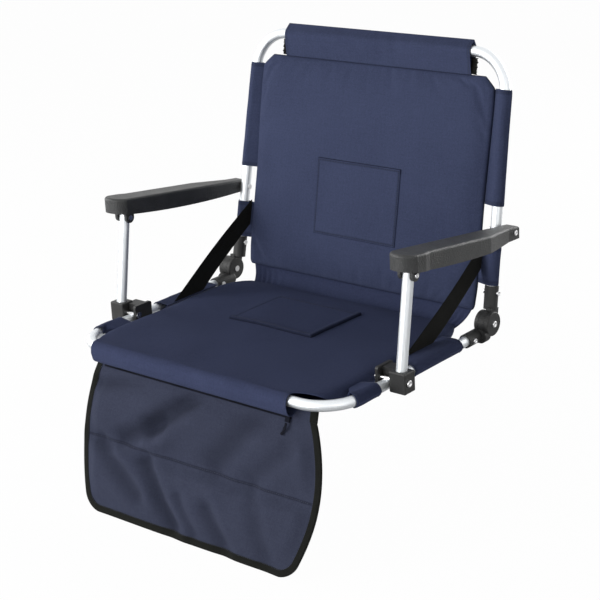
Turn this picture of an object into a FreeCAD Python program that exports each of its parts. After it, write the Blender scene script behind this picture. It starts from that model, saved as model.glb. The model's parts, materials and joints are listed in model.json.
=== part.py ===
import FreeCAD, Part
import math
import os

# Folding stadium seat, in millimetres and degrees.
# +Z is up, the sitter faces -Y, and the origin is the middle of the face that rests on the bench.
# One side is modelled at +X, and the other side is its mirror image.

# Tubes of the seat and of the back
TUBE_D = 16.0
TUBE_WALL = 1.4
SEAT_W = 500.0
SEAT_DEPTH = 372.0
SEAT_CORNER_R = 59.0
BACK_OUTSET = 2.5
BACK_LENGTH = 408.0
BACK_CORNER_R = 60.0
BACK_TAPER = 1.9
BACK_RECLINE = 11.3

# Clearances
FIT_GAP = 0.05
SAFE_GAP = 0.4
CLOTH_GAP = 0.3

# Hinge between the seat and the back
HINGE_AHEAD = 9.5
HINGE_RISE = 15.0
BARREL_D = 37.0
BARREL_W = 24.0
BARREL_OUTSET = 6.0
BARREL_ROUND = 2.0
KNUCKLE_W = 9.2
HINGE_PIN_D = 8.0
SOCKET_WALL = 2.5
LOWER_SOCKET_L = 50.0
UPPER_SOCKET_L = 35.0
SOCKET_PLUG = 3.0
HEEL_SHORT = 5.0
SOCKET_RIVET_INSET = 10.0

# Rivets and pins
RIVET_D = 5.0
RIVET_HEAD_D = 8.0
PIN_HEAD_D = 10.0
HEAD_T = 1.5

# Posts and their saddle brackets
POST_OUTSET = 24.0
POST_OVER_EAR = 5.0
POST_SEAT_GAP = 1.5
BRACKET_FROM_FRONT = 120.0
BRACKET_PIN_RISE = 8.5
BRACKET_PIN_D = 6.0
BLOCK_CLEAR = 2.6
BLOCK_OUT = 14.0
BLOCK_AHEAD = 9.0
BLOCK_BEHIND = 16.0
BLOCK_DOWN = 7.0
BLOCK_UP = 24.0
BLOCK_ROUND = 2.2
SADDLE_T = 4.8
SADDLE_AHEAD = 6.0
SADDLE_BEHIND = 30.0
SADDLE_ROUND = 4.0
WEB_AHEAD = 5.5
WEB_BEHIND = 26.0
WEB_LIFT = 0.7

# Armrests: the rear pivot is on the back tube, the front ears are on the post
ARM_PIVOT_UP = 151.0
EAR_BACK = 26.0
EAR_RISE = 148.5
EAR_DROP = 8.5
EAR_R = 8.5
EAR_T = 4.0
EAR_SLACK = 2.7
ARM_T = 24.0
ARM_REAR_UP = 9.0
ARM_REAR_DOWN = 11.0
ARM_NOSE = 29.0
ARM_NOSE_ROUND = 18.0
ARM_TAIL = 12.0
ARM_BELLY = 6.0
ARM_WALL = 3.0
ARM_REAR_W = 23.0
ARM_FRONT_IN = 20.0
ARM_FRONT_OUT = 24.0
ARM_SIDE_STEP = 3.5
ARM_STEP_L = 14.0
ARM_TOP_ROUND = 4.0
ARM_TAIL_BLOCK = 16.0
ARM_TAPER_L = 84.0
WASHER_T = 1.5
WASHER_D = 14.0

# Sewn covers
CLOTH_T = 1.7
ROLL_WALL = 4.0
ROLL_SLACK = 2.0
ROLL_DROP = 10.5
ROLL_FOOT_IN = 1.0
ROLL_PAST_BEND_LEFT = 14.0
ROLL_SHORT_RIGHT = 13.0
UNDER_PANEL_T = 1.5
UNDER_PANEL_SHORT = 4.0
PAD_TUBE_GAP = 12.0
PAD_EDGE_BULGE = 2.5
PAD_WAIST = 3.0
SEAT_PAD_EDGE = 10.5
SEAT_PAD_CROWN = 14.5
SEAT_PAD_REAR_GAP = 6.5
SEAT_PAD_CORNER = 26.0
SEAT_REAR_CUT = 24.0
SEAT_REAR_CUT_L = 62.0
BACK_PAD_FOOT = 22.0
BACK_PAD_TOP_GAP = 36.0
BACK_PAD_CORNER = 20.0
BACK_PAD_CORNER_H = 14.0
BACK_PAD_REAR = 6.0
BACK_PAD_EDGE = 7.5
BACK_PAD_CROWN = 11.5
WING_T = 3.0
WING_WRAP = 14.0
BRACKET_WINDOW_AHEAD = 22.0
BRACKET_WINDOW_BEHIND = 56.0
SEAT_WING_REAR_GAP = 19.0
ARM_WINDOW_UP = 35.0
ARM_WINDOW_DOWN = 24.0
POCKET_W = 163.0
POCKET_H = 122.0
POCKET_T = 1.3
SEAT_POCKET_FROM_FRONT = 172.0
BACK_POCKET_UP = 98.0
TOP_SLEEVE_ABOVE = 16.0
TOP_SLEEVE_DEPTH = 21.0
GRIP_STRIP_OUT = 9.0
GRIP_STRIP_T = 2.4
STRAP_T = 1.6
STRAP_SEAT_FRONT = -6.0
STRAP_FOOT = 70.0
STRAP_BACK_UP = 90.0
STRAP_HEAD = 43.0
STRAP_INSET = 4.0
GUSSET_BULGE = 6.0

# Front flap
FLAP_TILT = 15.0
SEAM_BEHIND = 9.6
SEAM_BELOW = 13.0
ROOT_UP = 12.5
ROOT_T = 2.0
FLAP_START = 1.3
FLAP_LENGTH = 228.0
FLAP_TOP_HALF = 213.5
FLAP_MID_HALF = 228.0
FLAP_LOW_HALF = 200.5
FLAP_CORNER = 24.0
FLAP_SEAM_T = 2.4
FLAP_SEAM_AT = 0.502
FLAP_PUFF = 8.0
FLAP_PUFF_BACK = 3.0
FLAP_BOW = 4.0
FLAP_STEPS = 10
# Folds of the flap, each from one point (across, down) to another, with its width and depth
FLAP_FOLDS = (((7.0, 0.0), (-89.0, 77.0), 20.0, 7.0), ((-75.0, 69.0), (-150.0, 107.0), 20.0, 5.0),
              ((120.0, 1.0), (40.0, 101.0), 24.0, 3.5), ((-190.0, 123.0), (-105.0, 185.0), 20.0, 5.0),
              ((-94.0, 131.0), (-28.0, 215.0), 20.0, 7.0), ((36.0, 169.0), (74.0, 223.0), 20.0, 5.0),
              ((120.0, 139.0), (150.0, 214.0), 22.0, 3.0))
BINDING_W = 11.0
ZIP_DOWN = 1.0
ZIP_W = 4.0
ZIP_T = 1.2
SLIDER_L = 9.0
SLIDER_W = 8.0
SLIDER_T = 2.2
PULL_L = 19.0
PULL_W = 6.0
PULL_T = 1.6

# Derived places
TUBE_R = TUBE_D / 2
SEAT_X = SEAT_W / 2
ROLL_R = TUBE_R + ROLL_WALL
SEAT_Z = ROLL_R
FRONT_Y = -SEAT_DEPTH / 2
BACK_Y = SEAT_DEPTH / 2
HINGE_Y = BACK_Y - HINGE_AHEAD
HINGE_Z = SEAT_Z + HINGE_RISE
SOCKET_R = TUBE_R + FIT_GAP + SOCKET_WALL
BORE_R = TUBE_R + FIT_GAP
SLEEVE_IN = TUBE_R + CLOTH_GAP
SLEEVE_R = SLEEVE_IN + CLOTH_T
BARREL_R = BARREL_D / 2
BARREL_X = SEAT_X + BARREL_OUTSET
LEAN_SIN = math.sin(math.radians(BACK_RECLINE))
LEAN_COS = math.cos(math.radians(BACK_RECLINE))
TAPER_TAN = math.tan(math.radians(BACK_TAPER))
HINGE_UP = HINGE_RISE * LEAN_COS - HINGE_AHEAD * LEAN_SIN
HINGE_FRONT = HINGE_RISE * LEAN_SIN + HINGE_AHEAD * LEAN_COS
POST_X = SEAT_X + POST_OUTSET
PIN_Y = FRONT_Y + BRACKET_FROM_FRONT
PIN_Z = SEAT_Z + BRACKET_PIN_RISE
EAR_Y = PIN_Y + EAR_BACK
EAR_Z = PIN_Z + EAR_RISE
ARM_Y = BACK_Y + ARM_PIVOT_UP * LEAN_SIN
ARM_Z = SEAT_Z + ARM_PIVOT_UP * LEAN_COS
PAD_HALF = SEAT_X - SLEEVE_R - PAD_TUBE_GAP
ROLL_LEFT = SEAT_X - SEAT_CORNER_R + ROLL_PAST_BEND_LEFT
ROLL_RIGHT = SEAT_X - SEAT_CORNER_R - ROLL_SHORT_RIGHT

V = FreeCAD.Vector
ORIGIN = V(0, 0, 0)
X_AXIS = V(1, 0, 0)
Y_AXIS = V(0, 1, 0)
PARTS = {}


def mirrored(shape):
    """The same piece on the other side of the seat."""
    return shape.mirror(ORIGIN, X_AXIS)


def both(name, shape):
    """Keep a right-hand piece and its left-hand mirror as two pieces."""
    PARTS[name + "_right"] = shape
    PARTS[name + "_left"] = mirrored(shape)


def pair(name, shape):
    """Keep a right-hand fastener and its mirror as one group of two."""
    PARTS[name] = Part.makeCompound([shape, mirrored(shape)])


def box(x, y, z):
    """Block between two limits on each axis."""
    size = [abs(b - a) for a, b in (x, y, z)]
    return Part.makeBox(*size, V(min(x), min(y), min(z)))


def rod_x(x0, x1, y, z, radius):
    """Round bar along X."""
    return Part.makeCylinder(radius, x1 - x0, V(x0, y, z), X_AXIS)


def rounded_box(x, y, z, radius, axis=None):
    """Block with all its edges rounded, or only those along one axis."""
    block = box(x, y, z)
    edges = block.Edges
    if axis:
        edges = [e for e in edges if abs(e.tangentAt(e.FirstParameter).dot(axis)) > 0.9]
    return block.makeFillet(radius, edges)


def line(a, b):
    return Part.LineSegment(a, b).toShape()


def arc(a, mid, b):
    return Part.Arc(a, mid, b).toShape()


def polygon(points):
    return Part.Face(Part.makePolygon(points + points[:1]))


def bent_path(points, radius):
    """Line through the points with a tangent arc at each inner point."""
    edges = []
    start = points[0]
    for before, corner, after in zip(points, points[1:], points[2:]):
        into = (corner - before).normalize()
        out = (after - corner).normalize()
        turn = into.getAngle(out)
        reach = radius * math.tan(turn / 2)
        first = corner - into * reach
        last = corner + out * reach
        inward = (out - into).normalize()
        middle = corner + inward * (radius / math.cos(turn / 2) - radius)
        edges += [line(start, first), arc(first, middle, last)]
        start = last
    edges.append(line(start, points[-1]))
    return Part.Wire(edges)


def swept_bar(path, radius):
    """Round bar along a bent path."""
    first = path.Edges[0]
    start = first.valueAt(first.FirstParameter)
    heading = first.tangentAt(first.FirstParameter)
    ring = Part.Wire(Part.makeCircle(radius, start, heading))
    sweep = Part.BRepOffsetAPI.MakePipeShell(path)
    sweep.add(ring)
    sweep.build()
    sweep.makeSolid()
    return sweep.shape()


def bent_tube(points, bend):
    path = bent_path(points, bend)
    return swept_bar(path, TUBE_R).cut(swept_bar(path, TUBE_R - TUBE_WALL))


def lean(shape):
    """Turn a piece drawn on an upright back to the real recline, and set it on the back line."""
    turned = shape.copy()
    turned.rotate(ORIGIN, X_AXIS, -BACK_RECLINE)
    turned.translate(V(0, BACK_Y, SEAT_Z))
    return turned


def back_x(up):
    """Distance of the back's side tube from the middle, at a height along the back."""
    return SEAT_X + BACK_OUTSET - up * TAPER_TAN


def along_back(up0, up1, radius):
    """Round bar on the axis of the right side tube of the upright back."""
    low = V(back_x(up0), 0, up0)
    high = V(back_x(up1), 0, up1)
    return Part.makeCylinder(radius, (high - low).Length, low, high - low)


def rivet(x0, x1, y, z, shank_d, head_d):
    """Pin along X with a low round head on each end."""
    shank = rod_x(x0, x1, y, z, shank_d / 2)
    outer = rod_x(x1, x1 + HEAD_T, y, z, head_d / 2)
    inner = rod_x(x0 - HEAD_T, x0, y, z, head_d / 2)
    return shank.fuse([outer, inner]).removeSplitter()


def rounded_disc(x0, x1, y, z, radius):
    disc = rod_x(x0, x1, y, z, radius)
    rims = [e for e in disc.Edges if e.Closed]
    return disc.makeFillet(BARREL_ROUND, rims)


# Seat frame: a tube bent to a U, open at the back
LOWER_PLUG_Y = HINGE_Y - BARREL_R - SOCKET_PLUG
LOWER_MOUTH_Y = HINGE_Y - LOWER_SOCKET_L
LOWER_RIVET_Y = LOWER_MOUTH_Y + SOCKET_RIVET_INSET


def seat_frame():
    points = [V(SEAT_X, LOWER_PLUG_Y, SEAT_Z), V(SEAT_X, FRONT_Y, SEAT_Z)]
    points += [V(-p.x, p.y, p.z) for p in reversed(points)]
    tube = bent_tube(points, SEAT_CORNER_R)
    for side in (-1, 1):
        x = sorted((side * (SEAT_X - TUBE_D), side * (SEAT_X + TUBE_D)))
        tube = tube.cut(rod_x(*x, LOWER_RIVET_Y, SEAT_Z, RIVET_D / 2 + FIT_GAP))
        tube = tube.cut(rod_x(*x, PIN_Y, PIN_Z, BRACKET_PIN_D / 2 + FIT_GAP))
    return tube


def round_ended(x, y0, y1):
    """Bar as thick as a socket along Y at the seat tube's height, with its rear end rounded."""
    bar = Part.makeCylinder(SOCKET_R, y1 - y0, V(x, y0, SEAT_Z), Y_AXIS)
    rim = [e for e in bar.Edges if e.Closed and abs(e.CenterOfMass.y - y1) < FIT_GAP]
    return bar.makeFillet(HEEL_SHORT, rim)


def lower_socket():
    """Sleeve on the end of the seat tube, with a round heel that carries the two cheeks of the hinge fork."""
    end = HINGE_Y - HEEL_SHORT
    heel_x = BARREL_X + BARREL_W / 2 - SOCKET_R
    sleeve = round_ended(SEAT_X, LOWER_MOUTH_Y, end)
    heel = round_ended(heel_x, LOWER_PLUG_Y, end)
    web = box((SEAT_X, heel_x), (LOWER_PLUG_Y, end - HEEL_SHORT), (SEAT_Z - SOCKET_R, SEAT_Z))
    barrel = rounded_disc(BARREL_X - BARREL_W / 2, BARREL_X + BARREL_W / 2, HINGE_Y, HINGE_Z, BARREL_R)
    slot_half = KNUCKLE_W / 2 + SAFE_GAP
    slot = rod_x(BARREL_X - slot_half, BARREL_X + slot_half, HINGE_Y, HINGE_Z, BARREL_R + SAFE_GAP)
    bore = Part.makeCylinder(BORE_R, LOWER_PLUG_Y - LOWER_MOUTH_Y, V(SEAT_X, LOWER_MOUTH_Y, SEAT_Z), Y_AXIS)
    pin = rod_x(BARREL_X - BARREL_W, BARREL_X + BARREL_W, HINGE_Y, HINGE_Z, HINGE_PIN_D / 2 + FIT_GAP)
    hole = rod_x(SEAT_X - TUBE_D, SEAT_X + TUBE_D, LOWER_RIVET_Y, SEAT_Z, RIVET_D / 2 + FIT_GAP)
    return sleeve.fuse([barrel, heel, web]).cut([slot, bore, pin, hole]).removeSplitter()


PARTS["seat_frame_tube"] = seat_frame()
both("lower_hinge_socket", lower_socket())
pair("hinge_pins", rivet(BARREL_X - BARREL_W / 2, BARREL_X + BARREL_W / 2, HINGE_Y, HINGE_Z,
                         HINGE_PIN_D, PIN_HEAD_D))
pair("lower_socket_rivets", rivet(SEAT_X - SOCKET_R, SEAT_X + SOCKET_R, LOWER_RIVET_Y, SEAT_Z,
                                  RIVET_D, RIVET_HEAD_D))

# Back frame: a tube bent to an upturned U whose sides draw together
UPPER_START = HINGE_UP + BARREL_R + 2 * SAFE_GAP
UPPER_END = UPPER_START + UPPER_SOCKET_L
UPPER_PLUG = UPPER_START + SOCKET_PLUG
UPPER_RIVET = UPPER_END - SOCKET_RIVET_INSET


def back_frame():
    points = [V(back_x(UPPER_PLUG), 0, UPPER_PLUG), V(back_x(BACK_LENGTH), 0, BACK_LENGTH)]
    points += [V(-p.x, p.y, p.z) for p in reversed(points)]
    tube = bent_tube(points, BACK_CORNER_R)
    for side in (-1, 1):
        for up in (UPPER_RIVET, ARM_PIVOT_UP):
            x = sorted((side * (back_x(up) - TUBE_D), side * (back_x(up) + TUBE_D)))
            tube = tube.cut(rod_x(*x, 0, up, RIVET_D / 2 + FIT_GAP))
    return tube


def upper_socket():
    """Sleeve on the foot of the back tube with the knuckle that turns between the cheeks."""
    sleeve = along_back(UPPER_START, UPPER_END, SOCKET_R)
    x = (BARREL_X - KNUCKLE_W / 2, BARREL_X + KNUCKLE_W / 2)
    knuckle = rod_x(*x, -HINGE_FRONT, HINGE_UP, BARREL_R)
    neck = box(x, (-HINGE_FRONT, TUBE_R), (HINGE_UP, UPPER_PLUG))
    bore = along_back(UPPER_PLUG, UPPER_END, BORE_R)
    pin = rod_x(x[0] - 1, x[1] + 1, -HINGE_FRONT, HINGE_UP, HINGE_PIN_D / 2 + FIT_GAP)
    at = back_x(UPPER_RIVET)
    hole = rod_x(at - TUBE_D, at + TUBE_D, 0, UPPER_RIVET, RIVET_D / 2 + FIT_GAP)
    return sleeve.fuse([knuckle, neck]).cut([bore, pin, hole]).removeSplitter()


PARTS["back_frame_tube"] = lean(back_frame())
both("upper_hinge_socket", lean(upper_socket()))
HEAD_TILT = RIVET_HEAD_D * TAPER_TAN
pair("upper_socket_rivets", lean(rivet(back_x(UPPER_RIVET) - SOCKET_R - HEAD_TILT,
                                       back_x(UPPER_RIVET) + SOCKET_R + HEAD_TILT,
                                       0, UPPER_RIVET, RIVET_D, RIVET_HEAD_D)))

# Armrests: hollow moulded shells, open below
ARM_TUBE_X = back_x(ARM_PIVOT_UP)
ARM_REAR_X = ARM_TUBE_X + TUBE_R + WASHER_T + 2 * CLOTH_GAP
ARM_OUT_X = ARM_REAR_X + ARM_REAR_W
ARM_TAIL_Y = ARM_Y + ARM_TAIL
ARM_NOSE_Y = EAR_Y - ARM_NOSE
ARM_LOW_X = POST_X - 2 * ARM_FRONT_IN
ARM_HIGH_X = POST_X + 2 * ARM_FRONT_OUT


def arm_top(y):
    """Height of the armrest's straight top."""
    front = EAR_Z + EAR_DROP + ARM_T
    rear = ARM_Z + ARM_REAR_UP
    return front + (rear - front) * (y - EAR_Y) / (ARM_Y - EAR_Y)


def arm_bottom_front():
    """Height of the underside at the nose, one thickness below the top."""
    return arm_top(ARM_NOSE_Y) - ARM_T


def extruded_x(wire):
    return Part.Face(wire).extrude(V(ARM_HIGH_X - ARM_LOW_X, 0, 0))


def arm_side():
    """Side view: straight top, bowed underside."""
    low_front = V(ARM_LOW_X, ARM_NOSE_Y, arm_bottom_front())
    low_rear = V(ARM_LOW_X, ARM_TAIL_Y, ARM_Z - ARM_REAR_DOWN)
    top_front = V(ARM_LOW_X, ARM_NOSE_Y, arm_top(ARM_NOSE_Y))
    top_rear = V(ARM_LOW_X, ARM_TAIL_Y, arm_top(ARM_TAIL_Y))
    belly = (low_front + low_rear) * 0.5 - V(0, 0, ARM_BELLY)
    return Part.Wire([line(top_front, top_rear), line(top_rear, low_rear),
                      arc(low_rear, belly, low_front), line(low_front, top_front)])


def arm_plan(inset):
    """Top view: slim at the rear, a broad round nose over the post."""
    rear_in = ARM_REAR_X + inset
    rear_out = ARM_OUT_X - inset
    front_in = POST_X - ARM_FRONT_IN + inset
    front_out = POST_X + ARM_FRONT_OUT - inset
    tail = ARM_TAIL_Y - inset
    round_y = ARM_NOSE_Y + ARM_NOSE_ROUND
    side = front_out - ARM_SIDE_STEP
    step = EAR_Y + EAR_R
    tip = V((front_in + front_out) / 2, ARM_NOSE_Y + inset, 0)
    block = ARM_Y - ARM_TAIL_BLOCK
    corners = [V(front_in, round_y, 0), V(front_in, step, 0), V(rear_in, tail, 0), V(rear_out, tail, 0),
               V(rear_out, block, 0), V(side, ARM_Y - ARM_TAPER_L, 0),
               V(side, step + ARM_STEP_L, 0), V(front_out, step, 0), V(front_out, round_y, 0)]
    edges = [line(a, b) for a, b in zip(corners, corners[1:])]
    outline = Part.Wire(edges + [arc(corners[-1], tip, corners[0])])
    return Part.Face(outline).extrude(V(0, 0, 2 * EAR_Z))


def arm_hollow():
    """Space inside the shell, open at the bottom and closed by the pivot block at the rear."""
    front = ARM_NOSE_Y + ARM_WALL
    rear = ARM_Y - ARM_TAIL_BLOCK
    floor = SEAT_Z
    points = [V(ARM_LOW_X, front, arm_top(front) - ARM_WALL), V(ARM_LOW_X, rear, arm_top(rear) - ARM_WALL),
              V(ARM_LOW_X, rear, floor), V(ARM_LOW_X, front, floor)]
    return extruded_x(Part.makePolygon(points + points[:1])).common(arm_plan(ARM_WALL))


def ear(x0):
    """Rounded tab that hangs from the roof of the shell beside the post."""
    x = (x0, x0 + EAR_T)
    tab = rod_x(*x, EAR_Y, EAR_Z, EAR_R)
    stem = box(x, (EAR_Y - EAR_R, EAR_Y + EAR_R), (EAR_Z, arm_top(EAR_Y + EAR_R) - ARM_WALL / 3))
    return tab.fuse(stem)


EAR_INNER_X = POST_X - TUBE_R - SAFE_GAP - EAR_T
EAR_OUTER_X = POST_X + TUBE_R + SAFE_GAP


def armrest():
    shell = extruded_x(arm_side()).common(arm_plan(0))
    roof = max((f for f in shell.Faces if f.normalAt(0, 0).z > 0.9), key=lambda f: f.Area)
    shell = shell.makeFillet(ARM_TOP_ROUND, roof.Edges)
    shell = shell.cut(arm_hollow()).fuse([ear(EAR_INNER_X), ear(EAR_OUTER_X)])
    ear_hole = rod_x(EAR_INNER_X - 1, EAR_OUTER_X + EAR_T + 1, EAR_Y, EAR_Z, RIVET_D / 2 + FIT_GAP)
    pivot_hole = rod_x(ARM_REAR_X - 1, ARM_OUT_X + 1, ARM_Y, ARM_Z, RIVET_D / 2 + FIT_GAP)
    return shell.cut([ear_hole, pivot_hole]).removeSplitter()


def arm_washer():
    x = (ARM_TUBE_X + TUBE_R, ARM_TUBE_X + TUBE_R + WASHER_T)
    ring = rod_x(*x, ARM_Y, ARM_Z, WASHER_D / 2)
    hole = rod_x(*x, ARM_Y, ARM_Z, RIVET_D / 2 + FIT_GAP)
    saddle = lean(along_back(ARM_PIVOT_UP - WASHER_D, ARM_PIVOT_UP + WASHER_D, TUBE_R + FIT_GAP))
    return ring.cut([hole, saddle])


both("armrest", armrest())
both("ear_rivet", rivet(EAR_INNER_X - FIT_GAP, EAR_OUTER_X + EAR_T + FIT_GAP, EAR_Y, EAR_Z,
                        RIVET_D, RIVET_HEAD_D))
pair("arm_pivot_rivets", rivet(ARM_TUBE_X - TUBE_R - HEAD_TILT, ARM_OUT_X + CLOTH_GAP, ARM_Y, ARM_Z,
                               RIVET_D, RIVET_HEAD_D))
pair("arm_pivot_washers", arm_washer())

# Posts: each tube stands in a saddle bracket that turns on a pin through the seat tube
BLOCK_X = (SEAT_X + TUBE_R + BLOCK_CLEAR, POST_X + BLOCK_OUT)
BLOCK_Y = (PIN_Y - BLOCK_AHEAD, PIN_Y + BLOCK_BEHIND)
BLOCK_Z = (SEAT_Z - BLOCK_DOWN, SEAT_Z + BLOCK_UP)
SADDLE_X = (SEAT_X - SLEEVE_R - SAFE_GAP - SADDLE_T, SEAT_X - SLEEVE_R - SAFE_GAP)
POST_FOOT_Z = PIN_Z + BRACKET_PIN_D / 2 + POST_SEAT_GAP
POST_TOP = V(POST_X, EAR_Y, EAR_Z)
POST_LOW = V(POST_X, (BLOCK_Y[0] + BLOCK_Y[1]) / 2, BLOCK_Z[1])
POST_UP = (POST_TOP - POST_LOW).normalize()
POST_FOOT = POST_LOW - POST_UP * ((POST_LOW.z - POST_FOOT_Z) / POST_UP.z)


def post():
    length = (POST_TOP - POST_FOOT).Length + POST_OVER_EAR
    tube = Part.makeCylinder(TUBE_R, length, POST_FOOT, POST_UP)
    tube = tube.cut(Part.makeCylinder(TUBE_R - TUBE_WALL, length, POST_FOOT, POST_UP))
    return tube.cut(rod_x(POST_X - TUBE_D, POST_X + TUBE_D, EAR_Y, EAR_Z, RIVET_D / 2 + EAR_SLACK))


def bracket():
    """Block under the post, plate inside the seat tube and a web over the tube that is the stop."""
    block = rounded_box(BLOCK_X, BLOCK_Y, BLOCK_Z, BLOCK_ROUND)
    plate_z = (BLOCK_Z[0] + BLOCK_ROUND, BLOCK_Z[1])
    plate_y = (PIN_Y - SADDLE_AHEAD, PIN_Y + SADDLE_BEHIND)
    plate = rounded_box(SADDLE_X, plate_y, plate_z, SADDLE_ROUND, X_AXIS)
    web_x = (SADDLE_X[1] - SADDLE_T / 2, BLOCK_X[0] + SADDLE_T)
    web_z = (SEAT_Z + TUBE_R + WEB_LIFT, BLOCK_Z[1] - BLOCK_ROUND)
    web = box(web_x, (PIN_Y + WEB_AHEAD, PIN_Y + WEB_BEHIND), web_z)
    socket = Part.makeCylinder(BORE_R, 2 * BLOCK_UP, POST_FOOT, POST_UP)
    pin = rod_x(SADDLE_X[0] - 1, BLOCK_X[1] + 1, PIN_Y, PIN_Z, BRACKET_PIN_D / 2 + FIT_GAP)
    return block.fuse([plate, web]).cut([socket, pin]).removeSplitter()


both("post_tube", post())
both("post_bracket", bracket())
pair("bracket_pivot_pins", rivet(SADDLE_X[0] - CLOTH_GAP, BLOCK_X[1] + CLOTH_GAP, PIN_Y, PIN_Z,
                                 BRACKET_PIN_D, PIN_HEAD_D))


# Seat cover
def pad_section(half, low, edge, crown, place):
    """Outline across a pad: flat underside, bowed sides and a crowned face.

    place turns a distance across and a height into a point.
    """
    inner = half - PAD_EDGE_BULGE
    a, b = place(-inner, low), place(inner, low)
    c, d = place(inner, edge), place(-inner, edge)
    right = arc(b, place(half, (low + edge) / 2), c)
    left = arc(d, place(-half, (low + edge) / 2), a)
    return Part.Wire([line(a, b), right, arc(c, place(0, crown), d), left])


UNDER_TOP = UNDER_PANEL_T + CLOTH_GAP
SEAT_PAD_FRONT = FRONT_Y + ROLL_R + SAFE_GAP
SEAT_PAD_REAR = HINGE_Y - SEAT_PAD_REAR_GAP
SEAT_PAD_LOW = UNDER_TOP
SEAT_FACE = SEAT_Z + SEAT_PAD_EDGE
SEAT_TOP = SEAT_Z + SEAT_PAD_CROWN


def seat_pad():
    """Panel with a crown and drawn-in sides, cut back round the bent tube and at its rear corners."""
    length = SEAT_PAD_REAR - SEAT_PAD_FRONT
    middle = (SEAT_TOP + SEAT_FACE) / 2
    sections = [(0, PAD_HALF - SEAT_PAD_CORNER, SEAT_FACE, middle),
                (SEAT_PAD_CORNER / 2, PAD_HALF - SEAT_PAD_CORNER / 3, SEAT_FACE, middle),
                (1.5 * SEAT_PAD_CORNER, PAD_HALF, SEAT_FACE, SEAT_TOP),
                (length / 2, PAD_HALF - PAD_WAIST, SEAT_FACE, SEAT_TOP),
                (length - SEAT_REAR_CUT_L, PAD_HALF, SEAT_FACE, SEAT_TOP),
                (length - SEAT_REAR_CUT_L / 3, PAD_HALF - SEAT_REAR_CUT / 2, SEAT_FACE, SEAT_TOP),
                (length, PAD_HALF - SEAT_REAR_CUT, SEAT_FACE - PAD_EDGE_BULGE, middle)]
    wires = []
    for at, half, edge, crown in sections:
        y = SEAT_PAD_FRONT + at
        wires.append(pad_section(half, SEAT_PAD_LOW, edge, crown, lambda x, z: V(x, y, z)))
    return Part.makeLoft(wires, True, True)


def roll():
    """Padded sleeve that is full round the front tube and hangs down below it."""
    x = -ROLL_LEFT
    span = ROLL_LEFT + ROLL_RIGHT
    low = SEAT_Z - ROLL_DROP
    foot_r = ROLL_R - ROLL_FOOT_IN
    head = [V(x, FRONT_Y - ROLL_R, SEAT_Z), V(x, FRONT_Y, SEAT_Z + ROLL_R), V(x, FRONT_Y + ROLL_R, SEAT_Z)]
    foot = [V(x, FRONT_Y + foot_r, low), V(x, FRONT_Y, low - foot_r), V(x, FRONT_Y - foot_r, low)]
    outline = Part.Wire([arc(*head), line(head[2], foot[0]), arc(*foot), line(foot[2], head[0])])
    skin = Part.Face(outline).extrude(V(span, 0, 0))
    return skin.cut(Part.makeCylinder(TUBE_R + ROLL_SLACK, span, V(x, FRONT_Y, SEAT_Z), X_AXIS))


def under_panel():
    """Flat panel that rests on the bench, clear of the band that the flap hangs from."""
    x = (-PAD_HALF + SEAT_PAD_CORNER, PAD_HALF - SEAT_PAD_CORNER)
    reach = -SEAT_PAD_FRONT - UNDER_PANEL_SHORT
    return rounded_box(x, (-reach, reach), (0, UNDER_PANEL_T), SEAT_PAD_CORNER, V(0, 0, 1))


BEND_Y = FRONT_Y + SEAT_CORNER_R


def bend_point(ahead):
    """Point on the seat tube's front bend, by length along the tube ahead of the straight side."""
    turn = ahead / SEAT_CORNER_R
    inward = SEAT_CORNER_R * (1 - math.cos(turn))
    return V(SEAT_X - inward, BEND_Y - SEAT_CORNER_R * math.sin(turn), SEAT_Z)


def seat_wing(limits, wrap, pad):
    """Sleeve on the side tube, wrapped round its bend, with the strip of cloth that joins it to the pad."""
    straight = line(V(SEAT_X, limits[0], SEAT_Z), V(SEAT_X, limits[1], SEAT_Z))
    bend = [arc(bend_point(wrap), bend_point(wrap / 2), bend_point(0))] if wrap else []
    path = Part.Wire(bend + [straight])
    strip = box((PAD_HALF - 2 * PAD_WAIST, SEAT_X), limits, (SEAT_Z - WING_T / 2, SEAT_Z + WING_T / 2))
    cloth = swept_bar(path, SLEEVE_R).fuse(strip)
    return cloth.cut([swept_bar(path, SLEEVE_IN), pad]).removeSplitter()


def raised_patch(pad, normal, region):
    """Cloth patch that follows the crown of a pad inside a region."""
    lifted = pad.copy()
    lifted.translate(normal * POCKET_T)
    return lifted.common(region).cut(pad)


def seat_pocket(pad):
    y = SEAT_PAD_FRONT + SEAT_POCKET_FROM_FRONT
    region = box((-POCKET_W / 2, POCKET_W / 2), (y, y + POCKET_H), (SEAT_FACE, SEAT_TOP + 2 * POCKET_T))
    return raised_patch(pad, V(0, 0, 1), region)


SEAT_PAD = seat_pad()
PARTS["seat_pad"] = SEAT_PAD
PARTS["seat_front_sleeve"] = roll()
PARTS["seat_under_panel"] = under_panel()
FRONT_WING = (BEND_Y, PIN_Y - BRACKET_WINDOW_AHEAD)
REAR_WING = (PIN_Y + BRACKET_WINDOW_BEHIND, LOWER_MOUTH_Y - SEAT_WING_REAR_GAP)
both("seat_front_side_sleeve", seat_wing(FRONT_WING, WING_WRAP, SEAT_PAD))
both("seat_rear_side_sleeve", seat_wing(REAR_WING, 0, SEAT_PAD))
PARTS["seat_pocket"] = seat_pocket(SEAT_PAD)

# Back cover, drawn upright: -Y is its front
BACK_PAD_TOP = BACK_LENGTH - BACK_PAD_TOP_GAP


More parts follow.
